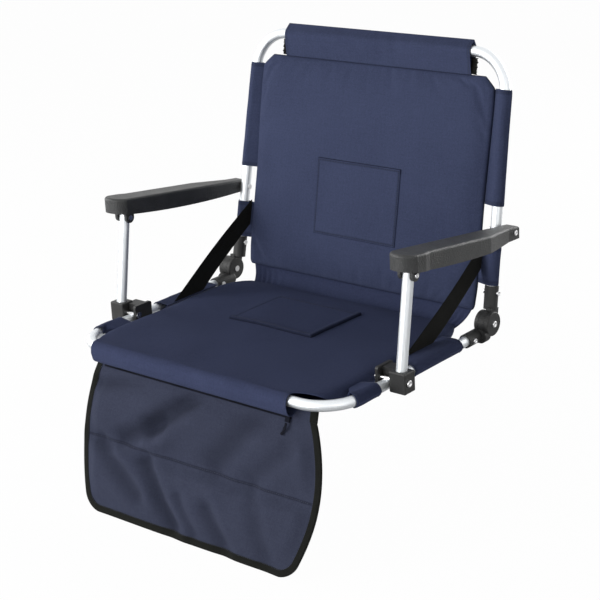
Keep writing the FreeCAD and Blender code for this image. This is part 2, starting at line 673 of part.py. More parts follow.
def back_pad():
    """Panel with a crown, drawn-in sides and cut top corners."""
    shoulder = BACK_PAD_TOP - BACK_PAD_CORNER_H
    middle = (BACK_PAD_CROWN + BACK_PAD_EDGE) / 2
    centre = (BACK_PAD_FOOT + shoulder) / 2
    top_half = min(PAD_HALF, back_x(shoulder) - SLEEVE_R - PAD_EDGE_BULGE)
    sections = [(BACK_PAD_FOOT, PAD_HALF - PAD_EDGE_BULGE, middle),
                (BACK_PAD_FOOT + BACK_PAD_CORNER, PAD_HALF, BACK_PAD_CROWN),
                (centre, PAD_HALF - PAD_WAIST, BACK_PAD_CROWN),
                (shoulder - BACK_PAD_CORNER, top_half, BACK_PAD_CROWN),
                (shoulder, top_half - PAD_EDGE_BULGE, BACK_PAD_CROWN),
                (BACK_PAD_TOP, top_half - BACK_PAD_CORNER, middle)]
    wires = []
    for up, half, crown in sections:
        place = lambda x, front: V(x, -front, up)
        wires.append(pad_section(half, -BACK_PAD_REAR, BACK_PAD_EDGE, crown, place))
    return Part.makeLoft(wires, True, True)


def back_wing(limits, pad):
    """Sleeve on the back's side tube with the strip of cloth that joins it to the pad."""
    sleeve = along_back(*limits, SLEEVE_R)
    half = WING_T / 2
    points = [V(PAD_HALF - 2 * PAD_WAIST, -half, limits[0]), V(back_x(limits[0]), -half, limits[0]),
              V(back_x(limits[1]), -half, limits[1]), V(PAD_HALF - 2 * PAD_WAIST, -half, limits[1])]
    strip = polygon(points).extrude(V(0, WING_T, 0))
    bore = along_back(limits[0] - SLEEVE_R, limits[1] + SLEEVE_R, SLEEVE_IN)
    return sleeve.fuse(strip).cut([bore, pad]).removeSplitter()


TOP_SLEEVE_HALF = back_x(BACK_LENGTH) - BACK_CORNER_R


def top_sleeve():
    """Padded loop over the top tube, sewn to the pad below it."""
    low = BACK_PAD_TOP + CLOTH_GAP
    high = BACK_LENGTH + TOP_SLEEVE_ABOVE
    half = TOP_SLEEVE_DEPTH / 2
    shoulder = high - half
    foot = WING_T
    points = [V(0, -foot, low), V(0, foot, low), V(0, half, BACK_LENGTH), V(0, half, shoulder),
              V(0, 0, high), V(0, -half, shoulder), V(0, -half, BACK_LENGTH)]
    a, b, c, d, crest, e, f = [p + V(-TOP_SLEEVE_HALF, 0, 0) for p in points]
    slant = V(0, half / math.sqrt(2), half / math.sqrt(2) + shoulder) + V(-TOP_SLEEVE_HALF, 0, 0)
    other = V(slant.x, -slant.y, slant.z)
    outline = Part.Wire([line(a, b), line(b, c), line(c, d), arc(d, slant, crest), arc(crest, other, e),
                         line(e, f), line(f, a)])
    loop = Part.Face(outline).extrude(V(2 * TOP_SLEEVE_HALF, 0, 0))
    return loop.cut(rod_x(-TOP_SLEEVE_HALF, TOP_SLEEVE_HALF, 0, BACK_LENGTH, SLEEVE_IN))


def grip_strip():
    """Hook-and-loop strip that shows in the open end of the top sleeve."""
    start = TOP_SLEEVE_HALF + FIT_GAP
    up = (BACK_PAD_TOP + CLOTH_GAP, BACK_LENGTH - SLEEVE_R)
    return box((start, start + GRIP_STRIP_OUT), (0, GRIP_STRIP_T), up)


def back_pocket(pad):
    region = box((-POCKET_W / 2, POCKET_W / 2), (-BACK_PAD_CROWN - 2 * POCKET_T, -BACK_PAD_EDGE),
                 (BACK_POCKET_UP, BACK_POCKET_UP + POCKET_H))
    return raised_patch(pad, V(0, -1, 0), region)


BACK_PAD = back_pad()
PARTS["back_pad"] = lean(BACK_PAD)
LOWER_WING = (UPPER_END + SAFE_GAP, ARM_PIVOT_UP - ARM_WINDOW_DOWN)
UPPER_WING = (ARM_PIVOT_UP + ARM_WINDOW_UP, BACK_LENGTH - BACK_CORNER_R)
both("back_lower_side_sleeve", lean(back_wing(LOWER_WING, BACK_PAD)))
both("back_upper_side_sleeve", lean(back_wing(UPPER_WING, BACK_PAD)))
PARTS["back_top_sleeve"] = lean(top_sleeve())
pair("top_sleeve_grip_strips", lean(grip_strip()))
PARTS["back_pocket"] = lean(back_pocket(BACK_PAD))


# Straps and crease cloth between the seat and the back
def back_point(x, up, front):
    """Point at a height along the real back and a distance in front of its tubes."""
    return V(x, BACK_Y + up * LEAN_SIN - front * LEAN_COS, SEAT_Z + up * LEAN_COS + front * LEAN_SIN)


def strap():
    """Flat webbing from the seat's side cloth up to the back's side cloth."""
    x = PAD_HALF + STRAP_INSET
    rest = WING_T / 2 + CLOTH_GAP
    front = V(x, STRAP_SEAT_FRONT, SEAT_Z + rest)
    points = [front, front + V(0, STRAP_FOOT, 0), back_point(x, STRAP_BACK_UP, rest),
              back_point(x, STRAP_BACK_UP + STRAP_HEAD, rest)]
    return polygon(points).extrude(V(STRAP_T, 0, 0))


GUSSET_HALF = PAD_HALF - SEAT_REAR_CUT - PAD_EDGE_BULGE


def gusset():
    """Cloth that closes the crease, from the rear of the seat pad to the foot of the back pad."""
    x = -GUSSET_HALF
    low = V(x, SEAT_PAD_REAR + CLOTH_GAP, SEAT_Z - WING_T)
    high = back_point(x, BACK_PAD_FOOT - CLOTH_T, -WING_T)
    chord = (high - low).normalize()
    out = V(0, chord.z, -chord.y)
    skin = out * CLOTH_T
    middle = (low + high) * 0.5 + out * GUSSET_BULGE
    outline = Part.Wire([arc(low, middle, high), line(high, high + skin),
                         arc(high + skin, middle + skin, low + skin), line(low + skin, low)])
    return Part.Face(outline).extrude(V(2 * GUSSET_HALF, 0, 0))


both("strap", strap())
PARTS["crease_gusset"] = gusset()


# Front flap, drawn hanging straight down from its seam below the front sleeve, then tilted forward
def hang(shape):
    """Set a piece drawn below the origin under the seam, tilted forward."""
    turned = shape.copy()
    turned.rotate(ORIGIN, X_AXIS, -FLAP_TILT)
    turned.translate(V(0, FRONT_Y + SEAM_BEHIND, -SEAM_BELOW))
    return turned


FLAP_TOP = -FLAP_START
FLAP_LOW = FLAP_TOP - FLAP_LENGTH
SEAM_DOWN = FLAP_LENGTH * FLAP_SEAM_AT
FLAP_SEAM = FLAP_TOP - SEAM_DOWN
ZIP_BAND = ZIP_DOWN + SLIDER_L


def rise(value, low, high):
    """Smooth rise from 0 at low to 1 at high."""
    share = min(max((value - low) / (high - low), 0), 1)
    return share * share * (3 - 2 * share)


def fold_depth(x, down, start, end, width, depth):
    """Depth of one fold: greatest on its line, dying out as a bell curve to both sides."""
    run = (end[0] - start[0], end[1] - start[1])
    along = ((x - start[0]) * run[0] + (down - start[1]) * run[1]) / (run[0] ** 2 + run[1] ** 2)
    along = min(max(along, 0), 1)
    gap = math.hypot(x - start[0] - along * run[0], down - start[1] - along * run[1])
    return depth * math.exp(-(gap / width) ** 2)


def flap_forward(x, down):
    """How far the middle of the flap stands forward of its straight hang."""
    free = rise(down, ZIP_BAND, 3 * ZIP_BAND)
    folds = sum(fold_depth(x, down, *fold) for fold in FLAP_FOLDS)
    return -FLAP_BOW * math.sin(math.pi * down / FLAP_LENGTH) - free * folds


def flap_puff(x, down):
    """Share of the filling's height: none at the zip, the sewn line and the edges, full between them."""
    upper = rise(down, ZIP_BAND, 5 * ZIP_BAND) * (1 - rise(down, 0.7 * SEAM_DOWN, SEAM_DOWN))
    end = FLAP_LENGTH - BINDING_W
    lower = rise(down, SEAM_DOWN, 1.25 * SEAM_DOWN) * (1 - rise(down, 0.8 * end, end))
    return (upper + lower) * rise(FLAP_LOW_HALF - abs(x), 0, 3 * BINDING_W)


def flap_side(sign, puff):
    """Front (1) or back (-1) surface of the flap, through a grid of points over the folds and the filling."""
    reach = FLAP_MID_HALF + BINDING_W
    rest = FLAP_LENGTH - SEAM_DOWN
    heights = [ZIP_BAND * share for share in (-0.4, 0, 0.35, 0.7, 1, 1.4)]
    heights += [SEAM_DOWN * share for share in (0.2, 0.3, 0.42, 0.56, 0.7, 0.83, 0.93, 1)]
    heights += [SEAM_DOWN + rest * share for share in (0.1, 0.22, 0.4, 0.58, 0.76, 0.92)]
    grid = []
    for down in heights + [FLAP_LENGTH + BINDING_W]:
        row = []
        for i in range(-FLAP_STEPS, FLAP_STEPS + 1):
            x = reach * i / FLAP_STEPS
            skin = FLAP_SEAM_T / 2 + puff * flap_puff(x, down)
            row.append(V(x, -flap_forward(x, down) - sign * skin, FLAP_TOP - down))
        grid.append(row)
    surface = Part.BSplineSurface()
    surface.interpolate(grid)
    return surface.toShape()


def flap_sheet():
    """Quilted sheet with its folds, its filling and one sewn line across it."""
    front = flap_side(1, FLAP_PUFF)
    back = flap_side(-1, FLAP_PUFF_BACK)
    rims = [Part.makeRuledSurface(a, b) for a, b in zip(front.Edges, back.Edges)]
    shell = Part.makeShell([front, back] + rims)
    shell.sewShape()
    sheet = Part.makeSolid(shell)
    if sheet.Volume < 0:
        sheet.reverse()
    return sheet


def flap_outline(inset):
    """Front view of the flap, cut inwards by the inset at the sides and the bottom, as a thick plate."""
    low = FLAP_LOW + inset
    top = FLAP_TOP + inset
    y = -4 * FLAP_PUFF
    right = [V(FLAP_TOP_HALF - inset, y, top), V(FLAP_MID_HALF - inset, y, (FLAP_TOP + FLAP_SEAM) / 2),
             V(FLAP_LOW_HALF - inset, y, low)]
    left = [V(-p.x, p.y, p.z) for p in reversed(right)]
    outline = Part.Wire([arc(*right), line(right[2], left[0]), arc(*left), line(left[2], right[0])])
    plate = Part.Face(outline).extrude(V(0, 8 * FLAP_PUFF, 0))
    upright = [e for e in plate.Edges if abs(e.tangentAt(e.FirstParameter).y) > 0.9]
    lower = [e for e in upright if e.CenterOfMass.z < FLAP_SEAM]
    return plate.makeFillet(FLAP_CORNER - inset, lower)


def zip_piece(x, front, depth, down, length):
    """Small flat piece in front of the flap's top edge, by distance in front and down from the edge."""
    face = -FLAP_SEAM_T / 2 - CLOTH_GAP - front
    return box(x, (face - depth, face), (FLAP_TOP - down - length, FLAP_TOP - down))


SHEET = flap_sheet()
INNER = flap_outline(BINDING_W)
OUTER = flap_outline(0)
SLIDER_X = (ROLL_RIGHT - 2 * SLIDER_W, ROLL_RIGHT - SLIDER_W)
PULL_X = (sum(SLIDER_X) / 2 - PULL_W / 2, sum(SLIDER_X) / 2 + PULL_W / 2)
SLIDER_OUT = ZIP_T + CLOTH_GAP
PULL_OUT = SLIDER_OUT + SLIDER_T
PULL_DOWN = ZIP_DOWN + SLIDER_L + CLOTH_GAP
ROOT_X = (BINDING_W / 4 - FLAP_TOP_HALF, FLAP_TOP_HALF - BINDING_W / 4)
PARTS["flap_root_band"] = hang(box(ROOT_X, (-ROOT_T / 2, ROOT_T / 2), (SAFE_GAP, ROOT_UP)))
PARTS["flap_panel"] = hang(SHEET.common(OUTER.common(INNER)))
PARTS["flap_binding"] = hang(SHEET.common(OUTER.cut(INNER)))
CHAIN_X = (SLIDER_W - ROLL_LEFT, SLIDER_X[1])
PARTS["zip_chain"] = hang(zip_piece(CHAIN_X, 0, ZIP_T, ZIP_DOWN, ZIP_W))
PARTS["zip_slider"] = hang(zip_piece(SLIDER_X, SLIDER_OUT, SLIDER_T, ZIP_DOWN, SLIDER_L))
PARTS["zip_pull"] = hang(zip_piece(PULL_X, PULL_OUT, PULL_T, PULL_DOWN, PULL_L))

os.makedirs("parts", exist_ok=True)
for name, shape in PARTS.items():
    shape.exportStep(os.path.join("parts", name + ".step"))
    print(name, "solids", len(shape.Solids), "valid", shape.isValid(), "volume", round(shape.Volume))
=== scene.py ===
# %% [markdown]
# # A folding stadium seat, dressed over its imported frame
#
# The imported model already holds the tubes, hinges, armrests and posts at their true sizes, in metres.
# This lesson adds what the solids only stand in for: sewn cloth, padding, webbing, tape, stitches and
# finishes. Every new shape is a grid of points worked out with numpy, so each one is a formula that can be
# read and changed.

# %% Load the frame
import json
import math

import bmesh
import bpy
import numpy as np
from mathutils import Matrix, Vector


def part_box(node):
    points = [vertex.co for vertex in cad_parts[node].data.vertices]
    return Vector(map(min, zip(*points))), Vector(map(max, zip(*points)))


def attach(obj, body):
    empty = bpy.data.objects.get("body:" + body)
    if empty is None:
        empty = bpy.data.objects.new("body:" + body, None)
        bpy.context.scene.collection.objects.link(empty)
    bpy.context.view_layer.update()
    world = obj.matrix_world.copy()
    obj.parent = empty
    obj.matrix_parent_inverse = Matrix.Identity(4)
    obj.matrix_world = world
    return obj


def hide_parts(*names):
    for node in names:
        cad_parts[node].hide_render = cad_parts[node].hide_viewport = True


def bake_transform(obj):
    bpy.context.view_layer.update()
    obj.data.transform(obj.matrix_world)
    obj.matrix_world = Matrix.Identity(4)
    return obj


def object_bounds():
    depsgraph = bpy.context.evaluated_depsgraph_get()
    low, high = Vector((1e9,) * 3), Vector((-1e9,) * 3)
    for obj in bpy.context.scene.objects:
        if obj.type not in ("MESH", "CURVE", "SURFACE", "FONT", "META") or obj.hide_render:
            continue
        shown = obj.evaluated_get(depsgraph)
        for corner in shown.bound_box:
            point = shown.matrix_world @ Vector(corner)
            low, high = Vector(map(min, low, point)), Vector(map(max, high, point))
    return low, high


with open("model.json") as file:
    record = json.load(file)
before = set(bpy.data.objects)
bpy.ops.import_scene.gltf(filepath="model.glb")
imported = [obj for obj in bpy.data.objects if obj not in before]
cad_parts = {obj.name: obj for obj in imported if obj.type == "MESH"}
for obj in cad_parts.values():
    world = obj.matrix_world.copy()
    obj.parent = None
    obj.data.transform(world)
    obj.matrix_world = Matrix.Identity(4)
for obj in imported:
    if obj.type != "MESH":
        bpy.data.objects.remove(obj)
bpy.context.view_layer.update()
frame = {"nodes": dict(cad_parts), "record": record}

# %% [markdown]
# ## Where things are
#
# The seat lies flat with its tubes 12 mm above the bench, and the sitter faces -Y.
# The back leans, so its cloth is easiest to think of in three measures of its own: across, up along the back,
# and forward from the tubes. One function turns those measures into the shared frame.

# %% Main sizes of the frame
TUBE_R = 0.008
SEAT_X = 0.25
SEAT_Z = 0.012
FRONT_Y = -0.186
BACK_Y = 0.186
BEND_R = 0.059
BACK_LEAN = math.radians(11.3)
BACK_UP = 0.408
BACK_BASE_X = 0.2525
BACK_TAPER = math.radians(1.9)
BACK_BEND_R = 0.060
BACK_BEND_UP = 0.348
SLEEVE_SEAM_X = 0.2235


def tube_x(up):
    """Half the distance between the back's side tubes, which draw together by a small angle on the way up."""
    return BACK_BASE_X - up * math.tan(BACK_TAPER)


def on_back(across, up, forward):
    """Point of the leaning back: up runs along it, and forward is square to it, towards the sitter."""
    y = BACK_Y + up * math.sin(BACK_LEAN) - forward * math.cos(BACK_LEAN)
    z = SEAT_Z + up * math.cos(BACK_LEAN) + forward * math.sin(BACK_LEAN)
    return np.stack(np.broadcast_arrays(across, y, z), axis=-1)


print("top of the back tube", on_back(0.0, BACK_UP + TUBE_R, 0.0).round(3))

# %% [markdown]
# ## From a grid of points to a mesh
#
# A surface with two parameters is a grid: each square of four neighbouring points is a face.
# The UV map is filled with lengths of cloth in metres, so a weave keeps its real thread size on every piece.

# %% Surface helper
def running_length(points, axis):
    """Length along one direction of the grid, averaged over the other, starting from zero."""
    steps = np.linalg.norm(np.diff(points, axis=axis), axis=2).mean(axis=1 - axis)
    return np.concatenate([[0.0], np.cumsum(steps)])


def surface(name, points, wrap=False, flip=False, seam=None):
    """Mesh of a grid of points. wrap joins the last row to the first, flip turns the faces round, and seam
    is 1 along sewn lines, which draw the cloth in, and in fold valleys, where painted shade darkens the
    colour."""
    rows, cols = points.shape[:2]
    row, col = np.meshgrid(np.arange(rows if wrap else rows - 1), np.arange(cols - 1), indexing="ij")
    corner_rows = np.stack([row, row, row + 1, row + 1], axis=-1).reshape(-1, 4)
    corner_cols = np.stack([col, col + 1, col + 1, col], axis=-1).reshape(-1, 4)
    if flip:
        corner_rows, corner_cols = corner_rows[:, ::-1], corner_cols[:, ::-1]
    mesh = bpy.data.meshes.new(name)
    mesh.from_pydata(points.reshape(-1, 3).tolist(), [], (corner_rows % rows * cols + corner_cols).tolist())
    mesh.polygons.foreach_set("use_smooth", np.ones(len(mesh.polygons), bool))
    along = running_length(np.concatenate([points, points[:1]]) if wrap else points, 0)
    across = running_length(points, 1)
    lengths = np.stack([across[corner_cols], along[corner_rows]], axis=-1)
    mesh.uv_layers.new(name="cloth").data.foreach_set("uv", lengths.ravel())
    if seam is not None:
        mesh.attributes.new("seam", "FLOAT", "POINT").data.foreach_set("value", np.ravel(seam))
    piece = bpy.data.objects.new(name, mesh)
    bpy.context.scene.collection.objects.link(piece)
    return piece


def close_seams(piece):
    """Join points that lie on each other, so that skins that meet become one, and turn the faces outwards."""
    shell = bmesh.new()
    shell.from_mesh(piece.data)
    bmesh.ops.remove_doubles(shell, verts=shell.verts, dist=1e-5)
    bmesh.ops.recalc_face_normals(shell, faces=shell.faces)
    shell.to_mesh(piece.data)
    shell.free()


def finish_cloth(piece, thickness=0.0, smooth=1):
    """Give a skin its thickness inwards and round it with one subdivision."""
    if thickness:
        wall = piece.modifiers.new("thickness", "SOLIDIFY")
        wall.thickness = thickness
        wall.offset = -1
    if smooth:
        rounding = piece.modifiers.new("rounding", "SUBSURF")
        rounding.levels = smooth
        rounding.render_levels = smooth


# %% Small numpy tools
def smooth_step(value, low, high):
    """Rise from 0 at low to 1 at high, level at both ends."""
    share = np.clip((value - low) / (high - low), 0, 1)
    return share * share * (3 - 2 * share)


def ripple(a, b, length, seed):
    """Gentle unevenness from -1 to 1: the mean of nine waves in seeded directions, near one wavelength."""
    rng = np.random.default_rng(seed)
    heading = rng.uniform(0, 2 * np.pi, 9)
    wave = 2 * np.pi / (length * rng.uniform(0.7, 1.6, 9))
    phase = rng.uniform(0, 2 * np.pi, 9)
    run = a[..., None] * np.cos(heading) + b[..., None] * np.sin(heading)
    return np.sin(run * wave + phase).sum(axis=-1) / 4


def to_edges(count):
    """Steps from -1 to 1 that grow finer towards both ends."""
    even = np.linspace(-1, 1, count)
    return 0.4 * even + 0.6 * np.sin(even * np.pi / 2)


print("steps near an edge", to_edges(9).round(2))

# %% [markdown]
# ## Padding by cloth simulation
#
# The seat and the back are cloth sewn round a thin pad. A drawn crown looks stiff, so each cover starts
# slightly flat, its seams are held, and a little air pressure swells the cloth between them for 20 frames.
# The movement is capped, and the swollen points are written back, so no simulation is left on the piece.

# %% Swelling helper
def swell(piece, held, pressure, cap):
    """Blow up the skin between its held seams. held is 1 where a point stays and 0 where it is free."""
    count = len(piece.data.vertices)
    rest = np.empty(count * 3)
    piece.data.vertices.foreach_get("co", rest)
    rest = rest.reshape(-1, 3)
    group = piece.vertex_groups.new(name="held")
    for weight in (0.25, 0.5, 0.75, 1.0):
        chosen = np.flatnonzero(np.abs(held.ravel() - weight) <= 0.125)
        group.add(chosen.tolist(), weight, "REPLACE")
    cloth = piece.modifiers.new("swell", "CLOTH")
    cloth.settings.quality = 6
    cloth.settings.mass = 0.2
    cloth.settings.tension_stiffness = 25
    cloth.settings.compression_stiffness = 25
    cloth.settings.shear_stiffness = 12
    cloth.settings.bending_stiffness = 1.5
    cloth.settings.vertex_group_mass = "held"
    cloth.settings.use_pressure = True
    cloth.settings.uniform_pressure_force = pressure
    cloth.settings.shrink_min = -0.012
    cloth.settings.effector_weights.gravity = 0
    for number in range(1, 21):
        bpy.context.scene.frame_set(number)
    swollen = piece.evaluated_get(bpy.context.evaluated_depsgraph_get())
    moved = np.empty(count * 3)
    swollen.data.vertices.foreach_get("co", moved)
    move = moved.reshape(-1, 3) - rest
    far = np.linalg.norm(move, axis=1, keepdims=True)
    move *= cap * np.tanh(far / cap) / np.maximum(far, 1e-9)
    piece.modifiers.remove(cloth)
    bpy.context.scene.frame_set(1)
    piece.data.vertices.foreach_set("co", (rest + move).ravel())
    piece.vertex_groups.clear()
    print(piece.name, "swelled by up to", round(float(np.linalg.norm(move, axis=1).max()) * 1000, 1), "mm")
    return rest + move


# %% [markdown]
# ## Navy cloth
#
# The covers are a matt woven polyester. Close up it is a plain weave of threads about half a millimetre
# apart, and from a step away it shows a soft sheen and slightly uneven dye. The weave is drawn on the UV map
# in metres by two sets of bands that take turns, and the same bands lift the surface a little.

# %% Cloth material
def tree_of(name):
    """New material with its node tree and its main shader."""
    material = bpy.data.materials.new(name)
    material.use_nodes = True
    return material, material.node_tree, material.node_tree.nodes["Principled BSDF"]


def add(tree, kind, links=(), **values):
    """Add a node, set its plain values, and join (output socket, input name) pairs into it."""
    node = tree.nodes.new(kind)
    for key, value in values.items():
        if key in node.inputs.keys():
            node.inputs[key].default_value = value
        else:
            setattr(node, key, value)
    for output, socket in links:
        tree.links.new(output, node.inputs[socket])
    return node


def colour_ramp(tree, factor, stops):
    """Colour ramp with (place, colour) stops."""
    node = add(tree, "ShaderNodeValToRGB", [(factor, "Fac")])
    for place, colour in stops[2:]:
        node.color_ramp.elements.new(place)
    for element, (place, colour) in zip(node.color_ramp.elements, stops):
        element.position = place
        element.color = (*colour, 1)
    return node


def woven(name, dark, light, thread, depth, sheen, roughness=0.92):
    """Plain weave: bands across and along, slubs, uneven dye, small creases, and painted shade in seams and
    folds.
    """
    material, tree, shader = tree_of(name)
    lengths = add(tree, "ShaderNodeUVMap", uv_map="cloth")
    place = add(tree, "ShaderNodeTexCoord")
    bands = [add(tree, "ShaderNodeTexWave", [(lengths.outputs["UV"], "Vector")], bands_direction=way,
                 Scale=1 / (thread * 3.2), Distortion=0.6, Detail=1.0) for way in "XY"]
    weave = add(tree, "ShaderNodeMath", [(bands[0].outputs["Fac"], 0), (bands[1].outputs["Fac"], 1)],
                operation="MULTIPLY")
    dye, speck, crease = [add(tree, "ShaderNodeTexNoise", [(place.outputs["Object"], "Vector")],
                              Scale=size, Detail=4.0, Distortion=0.4) for size in (9.0, 420.0, 38.0)]
    slubs = []
    for stretch in ((480, 30, 1), (30, 480, 1)):
        drawn = add(tree, "ShaderNodeMapping", [(lengths.outputs["UV"], "Vector")], Scale=stretch)
        slubs.append(add(tree, "ShaderNodeTexNoise", [(drawn.outputs["Vector"], "Vector")],
                         Scale=1.0, Detail=2.0))
    tone = weave
    for part, share in ((slubs[0], 0.3), (slubs[1], 0.3), (dye, 0.5), (speck, 0.8)):
        tone = add(tree, "ShaderNodeMath", [(part.outputs["Fac"], 0), (tone.outputs[0], 2)],
                   operation="MULTIPLY_ADD")
        tone.inputs[1].default_value = share
    level = add(tree, "ShaderNodeMapRange", [(tone.outputs[0], "Value")])
    level.inputs["From Min"].default_value, level.inputs["From Max"].default_value = 0.65, 1.75
    tint = colour_ramp(tree, level.outputs["Result"], [(0.0, dark), (1.0, light)])
    # Painted shade: where seam is 1, the colour falls to a quarter of the dark navy, as shade in seams and
    # folds.
    sewn = add(tree, "ShaderNodeAttribute", attribute_name="seam")
    shadow = add(tree, "ShaderNodeMix", [(sewn.outputs["Fac"], "Factor"), (tint.outputs["Color"], 6)],
                 data_type="RGBA")
    shadow.inputs[7].default_value = (*[0.25 * c for c in dark], 1)
    tree.links.new(shadow.outputs[2], shader.inputs["Base Color"])
    soft = add(tree, "ShaderNodeBump", [(crease.outputs["Fac"], "Height")], Strength=0.22, Distance=0.0012)
    fine = add(tree, "ShaderNodeBump", [(weave.outputs[0], "Height"), (soft.outputs["Normal"], "Normal")],
               Strength=depth, Distance=0.0003)
    tree.links.new(fine.outputs["Normal"], shader.inputs["Normal"])
    shader.inputs["Roughness"].default_value = roughness
    shader.inputs["Sheen Weight"].default_value = sheen
    shader.inputs["Sheen Roughness"].default_value = 0.45
    shader.inputs["Sheen Tint"].default_value = (0.45, 0.52, 0.8, 1)
    shader.inputs["Specular IOR Level"].default_value = 0.1
    return material


def navy(name, tint):
    """The navy cloth of one panel. tint multiplies its red, green and blue, as the photograph shows them:
    painted light and shade, lighter and darker copies of one cloth for panels that the light reaches more or
    less.
    """
    dark = [share * c for share, c in zip(tint, (0.030, 0.038, 0.078))]
    light = [share * c for share, c in zip(tint, (0.068, 0.083, 0.160))]
    return woven(name, dark, light, 0.0006, 0.5, 0.04)


# Painted light and shade: a lighter copy for the back, darker ones for the seat and the flap, by how light
# falls.
BACK_NAVY_PAINTED_LIGHT = navy("back_cloth_painted_light", (1.10, 1.10, 1.09))
SEAT_NAVY_PAINTED_SHADE = navy("seat_cloth_painted_shade", (0.94, 0.94, 0.98))
FLAP_NAVY_PAINTED_SHADE = navy("flap_cloth_painted_shade", (0.93, 0.86, 0.72))
print("made", BACK_NAVY_PAINTED_LIGHT.name, SEAT_NAVY_PAINTED_SHADE.name, FLAP_NAVY_PAINTED_SHADE.name)


# %% Dressing helper
def dress(piece, material, body, slot, *nodes):
    """Give a piece its material, let it ride on a body, and let it stand for CAD nodes."""
    piece.data.materials.append(material)
    if nodes:
        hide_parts(*nodes)
    if body:
        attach(piece, body)
    return piece


# %% [markdown]
# ## Seat cover
#
# One cloth makes the whole seat: it comes forward over the pad, rolls round the front tube and runs back
# underneath. So the piece is one loop in side view, carried across the seat. Over the pad the upper and the
# lower skin pinch together towards the side seams. Over the front tube they stay apart, and leave the open
# mouths that the tube comes out of. The left mouth lies further out than the right one, as in the photograph.

# %% Seat cover shape
ROLL_R = 0.0122
ROLL_DROP = 0.0113
ROLL_FOOT_R = 0.0112
SEAT_REAR = 0.168
COVER_COLS = 95
TOP_ROWS = 64
LOW_ROWS = 30


def seat_loop():
    """Side view as rows (y, z): forward over the pad, round the tube, down the roll, and back underneath."""
    top_y = SEAT_REAR - (SEAT_REAR - FRONT_Y) * np.linspace(0, 1, TOP_ROWS)
    run = (top_y - FRONT_Y) / (SEAT_REAR - FRONT_Y)
    top_z = SEAT_Z + ROLL_R - 0.007 * run ** 14
    head = np.linspace(np.pi / 2, np.pi, 10)[1:]
    foot = np.linspace(np.pi, 2 * np.pi, 18)
    fall = np.linspace(0, 1, 6)[1:-1]
    low_y = FRONT_Y + 0.0125 + (SEAT_REAR - FRONT_Y - 0.0125) * np.linspace(0, 1, LOW_ROWS) ** 1.3
    foot_z = SEAT_Z - ROLL_DROP
    y = np.concatenate([top_y, FRONT_Y + ROLL_R * np.cos(head),
                        FRONT_Y - ROLL_R + (ROLL_R - ROLL_FOOT_R) * fall - 0.0009 * np.sin(np.pi * fall),
                        FRONT_Y + ROLL_FOOT_R * np.cos(foot), low_y])
    z = np.concatenate([top_z, SEAT_Z + ROLL_R * np.sin(head), SEAT_Z - ROLL_DROP * fall,
                        foot_z + ROLL_FOOT_R * np.sin(foot), np.full(LOW_ROWS, 0.0003)])
    return y, z


def seat_edges(y):
    """Left and right edge of the cover by depth: short round the tube, full along the pad, cut at the rear."""
    depth = [-0.2, -0.177, -0.173, -0.163, -0.145, -0.1, 0.0, 0.104, 0.125, 0.150, 0.17]
    pad = [0.2185, 0.2245, 0.2262, 0.2242, 0.2262, 0.2225, 0.2145, 0.2025]
    right = np.interp(y, depth, [0.178, 0.178, 0.204, *pad])
    left = np.interp(y, depth, [0.205, 0.205, 0.209, *pad])
    return -left, right


loop_y, loop_z = seat_loop()
loop_top = (np.arange(len(loop_y)) < TOP_ROWS)[:, None]
cover_across = to_edges(COVER_COLS)
rolled = (np.arange(len(loop_y)) >= TOP_ROWS) & (np.arange(len(loop_y)) < len(loop_y) - LOW_ROWS)
edge_y = np.where(rolled, FRONT_Y, loop_y)
left_edge, right_edge = seat_edges(edge_y)
cover_x = (left_edge + right_edge)[:, None] / 2 + (right_edge - left_edge)[:, None] / 2 * cover_across
cover_y = np.repeat(loop_y[:, None], COVER_COLS, axis=1)
pinch = smooth_step(edge_y, -0.178, -0.152)[:, None]
pillow = np.sqrt(np.clip(1 - np.abs(cover_across) ** 34, 0, 1))[None, :]
depth_share = np.clip((cover_y - FRONT_Y) / (SEAT_REAR - FRONT_Y), 0, 1)
crown = 0.0032 * (1 - cover_across ** 2) * np.sin(np.pi * depth_share) ** 0.8
uneven = 0.0006 * ripple(cover_x, cover_y, 0.11, 3)
level = loop_z[:, None] + (crown + uneven) * loop_top
SIDE_SEAM_Z = 0.0125
cover_z = SIDE_SEAM_Z + (level - SIDE_SEAM_Z) * (1 - pinch + pinch * pillow)
seat_points = np.stack([cover_x, cover_y, cover_z], axis=-1)
print("seat cover grid", seat_points.shape[:2])

# %% Seat cover swelled and dressed
seat_cover = surface("seat_cover", seat_points, wrap=True, flip=True)
side_held = smooth_step(np.abs(cover_across), 0.955, 0.985)[None, :]
end_held = (1 - smooth_step(loop_y, -0.172, -0.15) + smooth_step(loop_y, 0.15, 0.166))[:, None]
seat_held = np.clip(side_held + end_held + ~loop_top, 0, 1)
seat_points = swell(seat_cover, seat_held, 4.0, 0.003).reshape(seat_points.shape)
close_seams(seat_cover)
finish_cloth(seat_cover, thickness=0.0014)
dress(seat_cover, SEAT_NAVY_PAINTED_SHADE, "seat", "cover_cloth", "seat_pad", "seat_front_sleeve", "seat_under_panel")
print("seat cover's highest point", round(float(seat_points[..., 2].max()), 4))

# %% [markdown]
# ## Back cushion
#
# The back is a pad of its own: a front and a rear skin that meet at a seam all round. Its outline narrows at
# the waist, and its two top corners are cut off at a slant. The same pinch formula is used in both directions,
# so the skin rises quickly from every seam and is nearly flat in the middle.

# %% Back cushion shape
BACK_FOOT = 0.024
BACK_TOP = 0.374
BACK_ROWS = 61
BACK_COLS = 91


def back_half(up):
    """Half width of the back pad by height, with its slanted top corners."""
    return np.interp(up, [0.02, 0.03, 0.06, 0.19, 0.33, 0.356, 0.374],
                     [0.2195, 0.2245, 0.2262, 0.2238, 0.2256, 0.2240, 0.2050])


